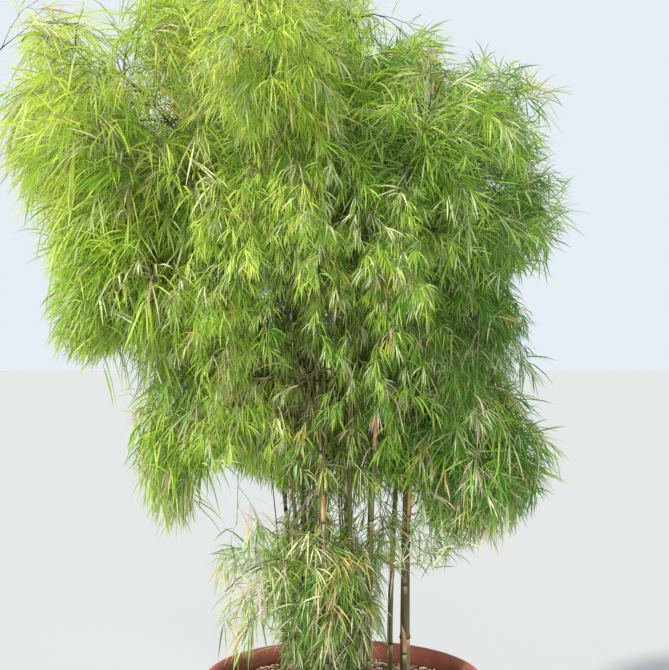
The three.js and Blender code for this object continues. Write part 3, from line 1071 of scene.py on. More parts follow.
@dataclass
class Clump:
    """The clump of canes: arching ones outside, upright ones within and one thick old one.

    Lengths are in metres and angles in degrees. What is added on the left or by the stagger is
    scaled by how far left a cane points, or by its half step in or out.
    """

    centre_x: float = 0.015
    first_arching: float = 24
    first_upright: float = 91.5
    azimuth_step: float = 45
    inner_radius: float = 0.062
    inner_step: float = 0.015
    outer_radius: float = 0.150
    outer_stagger: float = 0.032
    arching_length: float = 1.730
    left_length: float = 0.150
    stagger_length: float = 0.060
    arching_lean: float = 4.2
    left_lean: float = 1.8
    arching_arch: float = 42
    left_arch: float = 8
    stagger_arch: float = 6
    upright_length: float = 1.740
    right_length: float = 0.060
    arching_ages: tuple[float, ...] = (0.15, 0.55, 0.3, 0.75, 0.2, 0.6, 0.4, 0.85)
    upright_ages: tuple[float, ...] = (0.35, 0.1, 0.7, 0.25, 0.5)
    sides: int = 10
    thick_sides: int = 20
    shoot_sides: int = 6
    shoot_count: int = 26
    shoot_gap: float = 0.014
    shoot_reach: float = 0.2
    shoot_middle: Span = (-0.045, -0.03)
    shoot_scatter: float = 0.075
    shoot_turn: float = 50
    shoot_length: Span = (0.55, 1.45)
    shoot_lean: Span = (0.5, 4.5)
    shoot_arch: Span = (8, 26)
    shoot_radius: Span = (0.0021, 0.0036)
    shoot_internode: Span = (0.1, 0.16)
    shoot_age: Span = (0.1, 1.0)
    seed: int = 31
    canes: list[Cane] = field(default_factory=list)
    shoots: list[Cane] = field(default_factory=list)

    def foot(self, azimuth: float, distance: float) -> Span:
        """A place in the clump, at an azimuth and a distance from its centre."""
        angle = radians(azimuth)
        return self.centre_x + distance * cos(angle), distance * sin(angle)

    def plan(self) -> None:
        """Lays the canes out by the rule of the clump."""
        for i, age in enumerate(self.arching_ages):
            azimuth = self.first_arching + self.azimuth_step * i
            left = -cos(radians(azimuth))
            stagger = -0.5 if i % 2 == 0 else 0.5
            cane = Cane(
                name=f"arching_{i + 1}",
                kind=CaneKind.ARCHING,
                foot=self.foot(azimuth, self.outer_radius + stagger * self.outer_stagger),
                azimuth=azimuth,
                length=self.arching_length + self.left_length * left + self.stagger_length * stagger,
                lean=self.arching_lean + self.left_lean * left,
                arch=self.arching_arch + self.left_arch * left - self.stagger_arch * stagger,
                foot_radius=0.0066,
                tip_radius=0.0026,
                internode=0.190,
                age=age,
            )
            self.canes.append(cane)
        for i, age in enumerate(self.upright_ages):
            azimuth = self.first_upright + self.azimuth_step * i
            place = 2 * i % len(self.upright_ages)
            cane = Cane(
                name=f"upright_{i + 1}",
                kind=CaneKind.UPRIGHT,
                foot=self.foot(azimuth, self.inner_radius + place * self.inner_step),
                azimuth=azimuth,
                length=self.upright_length - self.right_length * cos(radians(azimuth)),
                lean=1.6,
                arch=11,
                foot_radius=0.0072,
                tip_radius=0.0028,
                internode=0.255,
                age=age,
            )
            self.canes.append(cane)
        thick = Cane(
            name="thick",
            kind=CaneKind.THICK,
            foot=(0.174, -0.024),
            azimuth=35,
            length=1.560,
            lean=0.8,
            arch=24,
            foot_radius=0.0155,
            tip_radius=0.0034,
            internode=0.255,
            age=0.8,
        )
        self.canes.append(thick)

    def plan_shoots(self) -> None:
        """Sets thin young shoots between the canes, most of them on the left of the clump."""
        rng = np.random.default_rng(self.seed)
        feet = [np.array(cane.foot) for cane in self.canes]
        while len(self.shoots) < self.shoot_count:
            foot = np.array([rng.normal(middle, self.shoot_scatter) for middle in self.shoot_middle])
            gap = min(float(np.linalg.norm(foot - other)) for other in feet)
            if gap < self.shoot_gap or np.hypot(*foot) > self.shoot_reach:
                continue
            feet.append(foot)
            length = rng.uniform(*self.shoot_length)
            shoot = Cane(
                name=f"shoot_{len(self.shoots) + 1}",
                kind=CaneKind.SHOOT,
                foot=(float(foot[0]), float(foot[1])),
                azimuth=degrees(np.arctan2(foot[1], foot[0])) + rng.normal(0, self.shoot_turn),
                length=length,
                lean=rng.uniform(*self.shoot_lean),
                arch=rng.uniform(*self.shoot_arch),
                foot_radius=rng.uniform(*self.shoot_radius),
                tip_radius=0.0012,
                internode=rng.uniform(*self.shoot_internode),
                age=rng.uniform(*self.shoot_age),
            )
            self.shoots.append(shoot)

    def grow_cane(self, cane: Cane, sides: int) -> bmesh.types.BMesh:
        """Extrudes one cane ring by ring from a circle at its foot.

        Args:
            cane: The cane.
            sides: The number of sides of its rings.

        Returns:
            The cane, with its age, nodes and bloom marked at its points.
        """
        bm = bmesh.new()
        age, node, bloom = (bm.verts.layers.float.new(key) for key in ("age", "node", "bloom"))
        foot, *others = cane.rings()
        place = cane.matrix(foot.share, foot.radius)
        bmesh.ops.create_circle(bm, cap_ends=True, segments=sides, radius=1.0, matrix=place)
        end = bm.faces[:][0]
        for ring in others:
            made = bmesh.ops.extrude_face_region(bm, geom=[end])["geom"]
            fresh = [item for item in made if isinstance(item, bmesh.types.BMVert)]
            end = next(item for item in made if isinstance(item, bmesh.types.BMFace))
            target = cane.matrix(ring.share, ring.radius)
            bmesh.ops.transform(bm, matrix=target @ place.inverted(), verts=fresh)
            for vert in fresh:
                vert[node] = ring.near
                vert[bloom] = ring.bloom
            place = target
        for vert in bm.verts:
            vert[age] = cane.age
        bmesh.ops.recalc_face_normals(bm, faces=bm.faces)
        return bm

    def build(self) -> None:
        """Builds every cane with its bough, the shoots and their sheaths."""
        for cane in self.canes:
            thick = cane.kind is CaneKind.THICK
            nodes = [f"cane_{cane.name}"]
            if cane.kind is CaneKind.ARCHING:
                nodes.append(f"bough_{cane.name}")
            bm = self.grow_cane(cane, self.thick_sides if thick else self.sides)
            piece = bmesh_piece(f"skin_{cane.name}", bm, CaneFinish())
            settle(piece, nodes)
        joined = bmesh.new()
        for shoot in self.shoots:
            bm = self.grow_cane(shoot, self.shoot_sides)
            spare = bpy.data.meshes.new(shoot.name)
            bm.to_mesh(spare)
            bm.free()
            joined.from_mesh(spare)
            bpy.data.meshes.remove(spare)
        settle(bmesh_piece("shoots", joined, CaneFinish()))
        Sheaths([*self.canes, *self.shoots]).build()


@dataclass
class Sheaths:
    """Papery sheaths that still clasp some of the lower nodes.

    The flare is its first share of the cane's radius, what it gains and the power of the gain.
    The clasp is its first share of half a turn, what it loses and the power of the loss.
    """

    canes: list[Cane]
    lowest: int = 4
    chance: float = 0.45
    length: Span = (0.07, 0.13)
    lift: float = 0.002
    clearance: float = 0.0006
    flare: Place = (1.12, 0.5, 2.2)
    clasp: Place = (0.86, 0.8, 1.8)
    wall: float = 0.0005
    columns: int = 9
    rows: int = 6
    seed: int = 9

    def build(self) -> None:
        """Rolls the sheaths and gives them their thickness."""
        rng = np.random.default_rng(self.seed)
        whole = bmesh.new()
        for cane in self.canes:
            for place in cane.nodes()[: self.lowest]:
                if rng.random() < self.chance:
                    self.roll_one(whole, cane, place, rng)
        piece = bmesh_piece("sheaths", whole, SheathFinish())
        wall = piece.modifiers.new("wall", "SOLIDIFY")
        wall.thickness = self.wall
        wall.offset = -1.0
        settle(piece)

    def roll_one(
        self, bm: bmesh.types.BMesh, cane: Cane, place: float, rng: np.random.Generator
    ) -> None:
        """Adds one sheath: a clasping band that opens out and narrows to a point.

        Args:
            bm: The bmesh that takes the sheath.
            cane: The cane that it clasps.
            place: The share of the cane's length where it is rooted.
            rng: The seeded source of its differences.
        """
        length = rng.uniform(*self.length)
        turn = rng.random() * 2 * pi
        first, gain, gain_power = self.flare
        whole, loss, loss_power = self.clasp
        grid = []
        for j in range(self.rows + 1):
            up = j / self.rows
            share = min(place + (self.lift + length * up) / cane.length, 1.0)
            flare = first + gain * up**gain_power
            reach = pi * (whole - loss * up**loss_power)
            ring = cane.matrix(share, cane.radius(share) * flare + self.clearance)
            angles = [turn + reach * (2 * i / self.columns - 1) for i in range(self.columns + 1)]
            grid.append([bm.verts.new(ring @ Vector((cos(a), sin(a), 0.0))) for a in angles])
        for low, high in zip(grid, grid[1:]):
            for i in range(self.columns):
                bm.faces.new((low[i], low[i + 1], high[i + 1], high[i]))


# Foliage

# Stems, twigs and leaves are drawn down by this power of the share of their length.
SAG_POWER = 1.3


@dataclass
class Paths:
    """Many bending stretches at once: stems, twigs or the midribs of leaves."""

    points: np.ndarray
    marks: dict[str, np.ndarray]

    def __len__(self) -> int:
        """How many there are."""
        return len(self.points)

    @property
    def ways(self) -> np.ndarray:
        """The direction of each step."""
        return unit(np.diff(self.points, axis=1))

    @property
    def length(self) -> np.ndarray:
        """The length of each path."""
        return np.linalg.norm(np.diff(self.points, axis=1), axis=-1).sum(axis=1)

    @classmethod
    def sagging(
        cls,
        start: np.ndarray,
        way: np.ndarray,
        length: np.ndarray,
        sag: np.ndarray,
        steps: int,
        marks: dict[str, np.ndarray],
    ) -> "Paths":
        """Paths that leave along a direction and are drawn down ever more towards their ends.

        Args:
            start: Where each begins.
            way: The direction in which each sets out.
            length: The length of each.
            sag: How strongly each is drawn down by its end.
            steps: The number of steps in each.
            marks: What each carries on to what grows from it.

        Returns:
            The paths.
        """
        shares = (np.arange(steps) + 0.5) / steps
        ways = unit(way[:, None] + (sag[:, None] * shares**SAG_POWER)[..., None] * DOWN)
        walk = np.cumsum(ways * (length / steps)[:, None, None], axis=1)
        return cls(np.concatenate([start[:, None], start[:, None] + walk], axis=1), marks)

    @property
    def ends(self) -> np.ndarray:
        """The last point of each path."""
        return self.points[:, -1]

    def kept(self, mask: np.ndarray) -> "Paths":
        """Only the paths that the mask keeps."""
        return Paths(self.points[mask], {key: value[mask] for key, value in self.marks.items()})

    def at(self, index: np.ndarray, share: np.ndarray) -> tuple[np.ndarray, np.ndarray]:
        """Places along some of the paths.

        Args:
            index: The number of the path for each place.
            share: The share of that path's length for each place.

        Returns:
            The points, and the directions of the paths there.
        """
        steps = self.points.shape[1] - 1
        place = np.clip(share, 0.0, 1.0) * steps
        low = np.minimum(place.astype(int), steps - 1)
        step = self.points[index, low + 1] - self.points[index, low]
        return self.points[index, low] + step * (place - low)[:, None], unit(step)


@dataclass(frozen=True)
class Growth:
    """How one level of the foliage branches off the level before it, in metres and degrees.

    Each parent carries a fixed number and so many per metre, between two shares of its length.
    Spread is their angle to it, shrink is what those at its end lose of their length, and roll
    says how they turn about it, in radians: how they scatter, and by how much they start anew.
    """

    fixed: float
    per_metre: float
    shares: Span
    spread: Span
    length: Span
    shrink: float
    sag: Span
    steps: int
    roll: Span = (0.9, 1.6)

    def grow(self, parents: Paths, rng: np.random.Generator) -> Paths:
        """Grows the level.

        Args:
            parents: The paths that carry it.
            rng: The seeded source of its differences.

        Returns:
            The new paths, each with its parent's marks.
        """
        ideal = self.fixed + self.per_metre * parents.length + rng.uniform(-0.5, 0.5, len(parents))
        counts = np.maximum(np.round(ideal), 1).astype(int)
        index = np.repeat(np.arange(len(parents)), counts)
        total = len(index)
        order = np.arange(total) - np.repeat(np.cumsum(counts) - counts, counts)
        low, high = self.shares
        share = low + (high - low) * (order + rng.random(total)) / counts[index]
        start, along = parents.at(index, share)
        side = crosswise(along)
        other = np.cross(along, side)
        scatter, anew = self.roll
        roll = order * pi + rng.normal(0.0, scatter, total)
        roll = roll + rng.uniform(0.0, anew, len(parents))[index]
        angle = np.radians(rng.uniform(*self.spread, total))
        out = np.cos(roll)[:, None] * side + np.sin(roll)[:, None] * other
        way = np.cos(angle)[:, None] * along + np.sin(angle)[:, None] * out
        marks = {key: value[index] for key, value in parents.marks.items()}
        length = rng.uniform(*self.length, total) * (1.0 - self.shrink * share) * marks["size"]
        sag = rng.uniform(*self.sag, total) * marks["hang"]
        return Paths.sagging(start, way, length, sag, self.steps, marks)


class Region(Enum):
    """The parts of the crown that are joined into a piece each, with a slot name for their leaves that
    no piece is given.
    """

    TOP = ("top", "leaf_bright")
    TIPS_BACK_LEFT = ("tips_back_left", "leaf_bright")
    TIPS_BACK_RIGHT = ("tips_back_right", "leaf_bright")
    TIPS_FRONT_LEFT = ("tips_front_left", "leaf_bright")
    TIPS_FRONT_RIGHT = ("tips_front_right", "leaf_bright")
    UPPER_BACK_LEFT = ("upper_back_left", "leaf_middle")
    UPPER_BACK_RIGHT = ("upper_back_right", "leaf_middle")
    UPPER_FRONT_LEFT = ("upper_front_left", "leaf_middle")
    UPPER_FRONT_RIGHT = ("upper_front_right", "leaf_middle")
    MIDDLE_BACK_LEFT = ("middle_back_left", "leaf_deep")
    MIDDLE_BACK_RIGHT = ("middle_back_right", "leaf_deep")
    MIDDLE_FRONT_LEFT = ("middle_front_left", "leaf_deep")
    MIDDLE_FRONT_RIGHT = ("middle_front_right", "leaf_deep")
    LOW = ("low", "leaf_middle")


@dataclass(frozen=True)
class Zone:
    """A rounded part of space, with its centre and its reach along each axis in metres."""

    name: str
    centre: Place
    reach: Place

    def depth(self, points: np.ndarray) -> np.ndarray:
        """How far out points lie: 0 at the centre and 1 at the zone's surface."""
        return np.linalg.norm((points - np.array(self.centre)) / np.array(self.reach), axis=-1)


@dataclass(frozen=True)
class Lobe(Zone):
    """One rounded part of the crown, which its own sprays fill.

    Size scales its leaves, hang says how far they droop, light how much painted light the tints
    of its sprays get, and fill how many of its twigs stay.
    """

    sprays: int
    size: float
    hang: float
    light: float
    fill: float = 1.0


LOBES = (
    Lobe("dome", (0.17, 0.00, 2.03), (0.50, 0.64, 0.40), 172, 0.78, 0.60, -0.04),
    Lobe("crest", (-0.20, 0.00, 2.17), (0.44, 0.58, 0.51), 150, 0.66, 0.90, 0.10),
    Lobe("left_shoulder", (-0.56, 0.00, 2.16), (0.42, 0.56, 0.44), 112, 1.12, 1.05, 0.02),
    Lobe("left_droop", (-0.58, -0.03, 1.76), (0.25, 0.42, 0.20), 38, 1.20, 1.25, 0.02),
    Lobe("left_tuft", (-0.70, -0.05, 1.63), (0.13, 0.30, 0.14), 18, 1.20, 1.30, 0.02),
    Lobe("heart", (-0.06, 0.00, 1.74), (0.51, 0.74, 0.62), 430, 0.48, 1.70, 0.06, 0.95),
    Lobe("right_flank", (0.30, 0.00, 1.64), (0.19, 0.43, 0.23), 50, 0.62, 1.40, 0.00, 0.95),
    Lobe("left_skirt", (-0.18, 0.00, 1.42), (0.23, 0.48, 0.23), 70, 0.54, 1.60, 0.30, 0.9),
    Lobe("right_skirt", (0.10, 0.00, 1.44), (0.42, 0.53, 0.31), 110, 0.58, 1.45, 0.14, 0.9),
    Lobe("right_spray", (0.38, -0.10, 1.21), (0.21, 0.25, 0.19), 15, 1.00, 0.80, 0.14, 0.8),
    Lobe("left_bunch", (-0.49, -0.08, 1.26), (0.14, 0.17, 0.22), 8, 1.10, 1.20, 0.06, 0.7),
    Lobe("rim_spray", (-0.25, -0.22, 0.95), (0.11, 0.15, 0.25), 4, 1.00, 1.10, 0.14, 0.6),
    Lobe("base", (-0.06, -0.03, 0.87), (0.17, 0.23, 0.28), 62, 0.82, 1.00, 0.08, 0.9),
    Lobe("base_right", (0.20, -0.05, 0.99), (0.13, 0.15, 0.09), 9, 0.90, 0.80, 0.16, 0.8),
    Lobe("front_bough", (-0.20, -0.53, 2.26), (0.19, 0.26, 0.22), 30, 0.66, 1.10, 0.10),
    Lobe("back_left_bough", (-0.23, 0.56, 2.17), (0.19, 0.24, 0.21), 24, 0.80, 1.00, 0.04),
    Lobe("back_right_bough", (0.20, 0.50, 2.16), (0.20, 0.24, 0.20), 22, 0.84, 0.90, 0.00),
)


@dataclass(frozen=True)
class Opening(Zone):
    """A thin place in the crown, where only a share of the twigs stays."""

    keeps: float

    def dropped(self, points: np.ndarray, rng: np.random.Generator) -> np.ndarray:
        """Which points the opening takes out.

        Args:
            points: The points, one row each.
            rng: The seeded source of what stays.

        Returns:
            A mask of the points.
        """
        taken = (self.depth(points) < 1.0) & (rng.random(len(points)) > self.keeps)
        log.info("the %s opening takes out %d of %d", self.name, taken.sum(), len(points))
        return taken


OPENINGS = (
    Opening("upper_left", (-0.64, -0.10, 2.39), (0.12, 0.80, 0.21), 0.25),
    Opening("crest", (-0.30, -0.10, 2.47), (0.14, 0.70, 0.09), 0.35),
    Opening("dome", (0.10, -0.10, 2.50), (0.07, 0.70, 0.11), 0.30),
    Opening("right", (0.67, 0.00, 1.84), (0.10, 0.60, 0.17), 0.20),
    Opening("front", (-0.01, -0.85, 1.31), (0.44, 0.85, 0.42), 0.21),
    Opening("right_middle", (0.40, -0.30, 1.70), (0.10, 0.50, 0.14), 0.70),
)


def crown_depth(points: np.ndarray) -> np.ndarray:
    """How far out points lie in the lobe that they are deepest in."""
    return np.min([lobe.depth(points) for lobe in LOBES], axis=0)


def raggedness(points: np.ndarray, strength: float = 0.055) -> np.ndarray:
    """A gentle unevenness of the crown's outline.

    Args:
        points: The places.
        strength: The strength of each of its three waves.

    Returns:
        What it adds to the depth at each place.
    """
    x, y, z = points[..., 0], points[..., 1], points[..., 2]
    waves = np.sin(17 * x + 5 * z) + np.sin(15 * y - 9 * z + 1.0) + np.sin(19 * z + 7 * x + 2.0)
    return strength * waves


@dataclass(frozen=True)
class Daylight:
    """Painted light and shade in the crown: tints paler up high, outside and on the left, in metres."""

    base: float = 0.46
    rise: float = 0.26
    level: float = 1.75
    rightward: float = -0.14
    outward: float = 0.16
    shade: float = 1.2
    shade_top: float = 2.1
    shade_depth: float = 0.5

    def at(self, points: np.ndarray, own: np.ndarray) -> np.ndarray:
        """The painted light at places.

        Args:
            points: The places, one row each.
            own: What the lobe of each adds.

        Returns:
            The light of each, mostly between 0 and 1.
        """
        x, z = points[:, 0], points[:, 2]
        out = np.hypot(x, points[:, 1])
        light = own + self.base + self.rise * (z - self.level) + self.rightward * x + self.outward * out
        low = np.clip(self.shade_top - z, 0.0, self.shade_depth)
        return light - self.shade * np.maximum(x, 0.0) * low


@dataclass(frozen=True)
class Stem:
    """One leading stem's place on its cane, its heading and its droop, in degrees and metres."""

    cane: Cane
    share: float
    azimuth: float
    tilt: float
    droop: float
    length: float
    region: Region


@dataclass(frozen=True)
class Tier:
    """One tier of masses on the arching canes.

    Turn, tilt and droop are in degrees. The share of the cane's length sways by the wave from
    cane to cane, the turn changes sides, and a widening tier leans out and reaches further left.
    """

    name: str
    share: float
    wave: float
    turn: float
    tilt: float
    droop: float
    length: float
    widens: bool


TIERS = (
    Tier("upper", 0.72, 0.035, 36, 48, 70, 0.320, True),
    Tier("middle", 0.49, 0.05, -32, 52, 76, 0.330, False),
)


@dataclass(frozen=True)
class LowMass:
    """One of the low masses: the number of its cane, its share, turn, tilt, droop and length."""

    name: str
    cane: int
    share: float
    turn: float
    tilt: float
    droop: float
    length: float


LOW_MASSES = (
    LowMass("left_bunch", 5, 0.35, -10, 52, 96, 0.400),
    LowMass("right_spray", 8, 0.38, 0, 58, 40, 0.380),
    LowMass("base_front", 6, 0.16, 40, 32, 70, 0.190),
    LowMass("base_left", 4, 0.17, 30, 32, 70, 0.190),
    LowMass("base_right", 7, 0.18, 30, 32, 70, 0.190),
    LowMass("base_back", 2, 0.16, 20, 32, 70, 0.190),
)


@dataclass
class Batch:
    """Many small shapes of one kind of piece, gathered for one mesh."""

    points: list[np.ndarray] = field(default_factory=list)
    quads: list[np.ndarray] = field(default_factory=list)
    triangles: list[np.ndarray] = field(default_factory=list)
    quad_tints: list[np.ndarray] = field(default_factory=list)
    triangle_tints: list[np.ndarray] = field(default_factory=list)
    total: int = 0

    def add(
        self, points: np.ndarray, quads: np.ndarray, triangles: np.ndarray, tints: np.ndarray
    ) -> None:
        """Adds shapes that all have the same faces.

        Args:
            points: Their points, as shapes by points by 3.
            quads: One shape's four-sided faces.
            triangles: One shape's three-sided faces.
            tints: The number of each shape's finish.
        """
        count, width = points.shape[:2]
        base = self.total + width * np.arange(count)[:, None, None]
        self.points.append(points.reshape(-1, 3))
        for faces, store, deal in (
            (quads, self.quads, self.quad_tints),
            (triangles, self.triangles, self.triangle_tints),
        ):
            if len(faces):
                store.append((base + faces[None]).reshape(-1, faces.shape[1]))
                deal.append(np.repeat(tints, len(faces)))
        self.total += count * width

    def piece(self, name: str, tints: Sequence[Finish]) -> bpy.types.Object:
        """Joins what was gathered into one object with those finishes.

        Args:
            name: The piece's name.
            tints: The finishes that are dealt out.

        Returns:
            The object.
        """
        faces = [np.concatenate(kind) for kind in (self.quads, self.triangles) if kind]
        deal = np.concatenate([*self.quad_tints, *self.triangle_tints])
        return mesh_piece(name, np.concatenate(self.points), faces, tints, deal)


# The width of a leaf at each of its two or three pairs of points, as a share of its widest.
LEAF_SHAPES = {2: (0.95, 0.82), 3: (0.86, 1.0, 0.66)}
LEAF_ROLL = 0.75


def blades(batch: Batch, paths: Paths, width: np.ndarray, rng: np.random.Generator) -> None:
    """Adds narrow leaves along their midribs: widest below the middle, drawn to a long point.

    Args:
        batch: The batch that takes the leaves.
        paths: Their midribs.
        width: The width of each.
        rng: The seeded source of how each is rolled about its midrib.
    """
    pairs = paths.points.shape[1] - 2
    roll = rng.normal(0.0, LEAF_ROLL, len(paths))[:, None, None]
    side = crosswise(paths.ways[:, :1])
    other = np.cross(paths.ways[:, :1], side)
    across = (np.cos(roll) * side + np.sin(roll) * other) * 0.5 * width[:, None, None]
    shape = np.array(LEAF_SHAPES[pairs])[None, :, None]
    middle = paths.points[:, 1:-1]
    left, right = middle + across * shape, middle - across * shape
    points = np.concatenate([paths.points[:, :1], left, right, paths.points[:, -1:]], axis=1)
    last = 2 * pairs + 1
    ends = np.array([[0, 1 + pairs, 1], [pairs, 2 * pairs, last]])
    rows = np.array([[k, k + pairs, k + pairs + 1, k + 1] for k in range(1, pairs)])
    batch.add(points, rows, ends, paths.marks["tint"])


def tubes(batch: Batch, paths: Paths, root: float, tip: float, tints: np.ndarray) -> None:
    """Adds three-sided rods along paths.

    Args:
        batch: The batch that takes the rods.
        paths: Their middle lines.
        root: The radius at the start of each.
        tip: The radius at its end, or 0 for a point.
        tints: The number of each rod's finish.
    """
    rings = paths.points.shape[1]
    ways = paths.ways
    ways = np.concatenate([ways[:, :1], ways], axis=1)
    side = crosswise(ways[:, :1]).repeat(rings, axis=1)
    other = np.cross(ways, side)
    radius = np.linspace(root, tip, rings)[None, :, None, None]
    angles = np.arange(3) * 2 * pi / 3
    spokes = np.cos(angles)[:, None] * side[:, :, None] + np.sin(angles)[:, None] * other[:, :, None]
    points = (paths.points[:, :, None] + radius * spokes).reshape(len(paths), -1, 3)
    quads = [
        [3 * ring + k, 3 * ring + (k + 1) % 3, 3 * ring + 3 + (k + 1) % 3, 3 * ring + 3 + k]
        for ring in range(rings - 1)
        for k in range(3)
    ]
    top = 3 * (rings - 1)
    caps = [[2, 1, 0], [top, top + 1, top + 2]]
    if tip == 0.0:
        points = points[:, : top + 1]
        quads = quads[:-3]
        caps = [[2, 1, 0]] + [[top - 3 + k, top - 3 + (k + 1) % 3, top] for k in range(3)]
    batch.add(points, np.array(quads), np.array(caps), tints)


@dataclass(frozen=True)
class Stray:
    """A tint that strays in, with its shares of the sprays: mostly, low down and in dry places."""

    tint: LeafTint
    share: float
    low: float
    dry: float


STRAYS = (
    Stray(LeafTint.PALE, 0.06, 0.15, 0.06),
    Stray(LeafTint.GOLD, 0.02, 0.04, 0.02),
    Stray(LeafTint.DRY, 0.02, 0.09, 0.09),
    Stray(LeafTint.SAGE, 0.17, 0.34, 0.17),
)


@dataclass(frozen=True)
class StemRule:
    """How lesser stems reach from a node of a cane to a place in a lobe.

    The places lie between two shares of the lobe's depth, crowded outwards by a power, and clear
    of the other lobes' middles. Each stem starts where its cost is least: its length, and so much
    for each metre that it has to rise or to turn inwards. It bends from its parent's way, pulled
    towards its end and upwards. Lengths and heights are in metres.
    """

    steps: int = 6
    inner: float = 0.24
    outward: float = 0.68
    crowding: float = 0.6
    others_clear: float = 0.38
    fall: float = 0.05
    hanging_fall: float = 0.15
    rise_cost: float = 0.4
    inward_cost: float = 0.6
    luck: Span = (1.0, 1.35)
    shortest: float = 0.10
    short_cost: float = 9.0
    along_pull: float = 0.45
    end_pull: float = 0.9
    up_pull: float = 0.35
    longest: float = 0.62
    low: float = 1.4

    def places(self, rng: np.random.Generator) -> tuple[np.ndarray, np.ndarray]:
        """Spreads the stems' ends through the lobes.

        Args:
            rng: The seeded source of the places.

        Returns:
            The ends, and how far their lobes droop.
        """
        ends, hangs = [], []
        for lobe in LOBES:
            way = unit(rng.normal(size=(lobe.sprays, 3)))
            out = self.inner + self.outward * rng.random((lobe.sprays, 1)) ** self.crowding
            spots = np.array(lobe.centre) + way * out * np.array(lobe.reach)
            others = [other.depth(spots) for other in LOBES if other is not lobe]
            ends.append(spots[np.min(others, axis=0) > self.others_clear])
            hangs.append(np.full(len(ends[-1]), lobe.hang))
            log.info("%s: %d of %d sprays have room", lobe.name, len(ends[-1]), lobe.sprays)
        return np.concatenate(ends), np.concatenate(hangs)

    def chosen(
        self, ends: np.ndarray, hangs: np.ndarray, roots: np.ndarray, rng: np.random.Generator
    ) -> np.ndarray:
        """Chooses where each stem starts.

        Args:
            ends: Where the stems end.
            hangs: How far the stems' lobes droop.
            roots: The places where they may start.
            rng: The seeded source of the luck that keeps neighbours from sharing a root.

        Returns:
            The number of each stem's root.
        """
        gap = ends[:, None] - roots[None]
        distance = np.linalg.norm(gap, axis=-1)
        inward = np.hypot(roots[:, 0], roots[:, 1])[None] - np.hypot(ends[:, 0], ends[:, 1])[:, None]
        fall = self.fall + self.hanging_fall * np.maximum(hangs - 1.0, 0.0)[:, None]
        cost = distance + self.rise_cost * np.abs(gap[..., 2] + fall)
        cost = cost + self.inward_cost * np.maximum(inward, 0.0)
        cost = cost * rng.uniform(*self.luck, cost.shape) + self.short_cost * (distance < self.shortest)
        return np.argmin(cost, axis=1)

    def bent(self, start: np.ndarray, along: np.ndarray, ends: np.ndarray) -> np.ndarray:
        """Bends the stems.

        Args:
            start: Where they start.
            along: The way in which their parents run there.
            ends: Where they end.

        Returns:
            The stems' points.
        """
        reach = ends - start
        span = np.linalg.norm(reach, axis=1, keepdims=True)
        pull = self.along_pull * along + self.end_pull * unit(reach) - self.up_pull * DOWN
        bend = start + 0.5 * span * unit(pull)
        t = np.linspace(0.0, 1.0, self.steps + 1)[None, :, None]
        return start[:, None] * (1 - t) ** 2 + bend[:, None] * 2 * t * (1 - t) + ends[:, None] * t * t

    def fit(self, stems: np.ndarray) -> np.ndarray:
        """Which stems are short enough and, but for low ones, run through the crown.

        Args:
            stems: The stems' points.

        Returns:
            A mask of the stems.
        """
        ends = stems[:, -1]
        short = np.linalg.norm(ends - stems[:, 0], axis=1) < self.longest
        return short & ((crown_depth(stems[:, self.steps // 2]) < 1.0) | (ends[:, 2] < self.low))


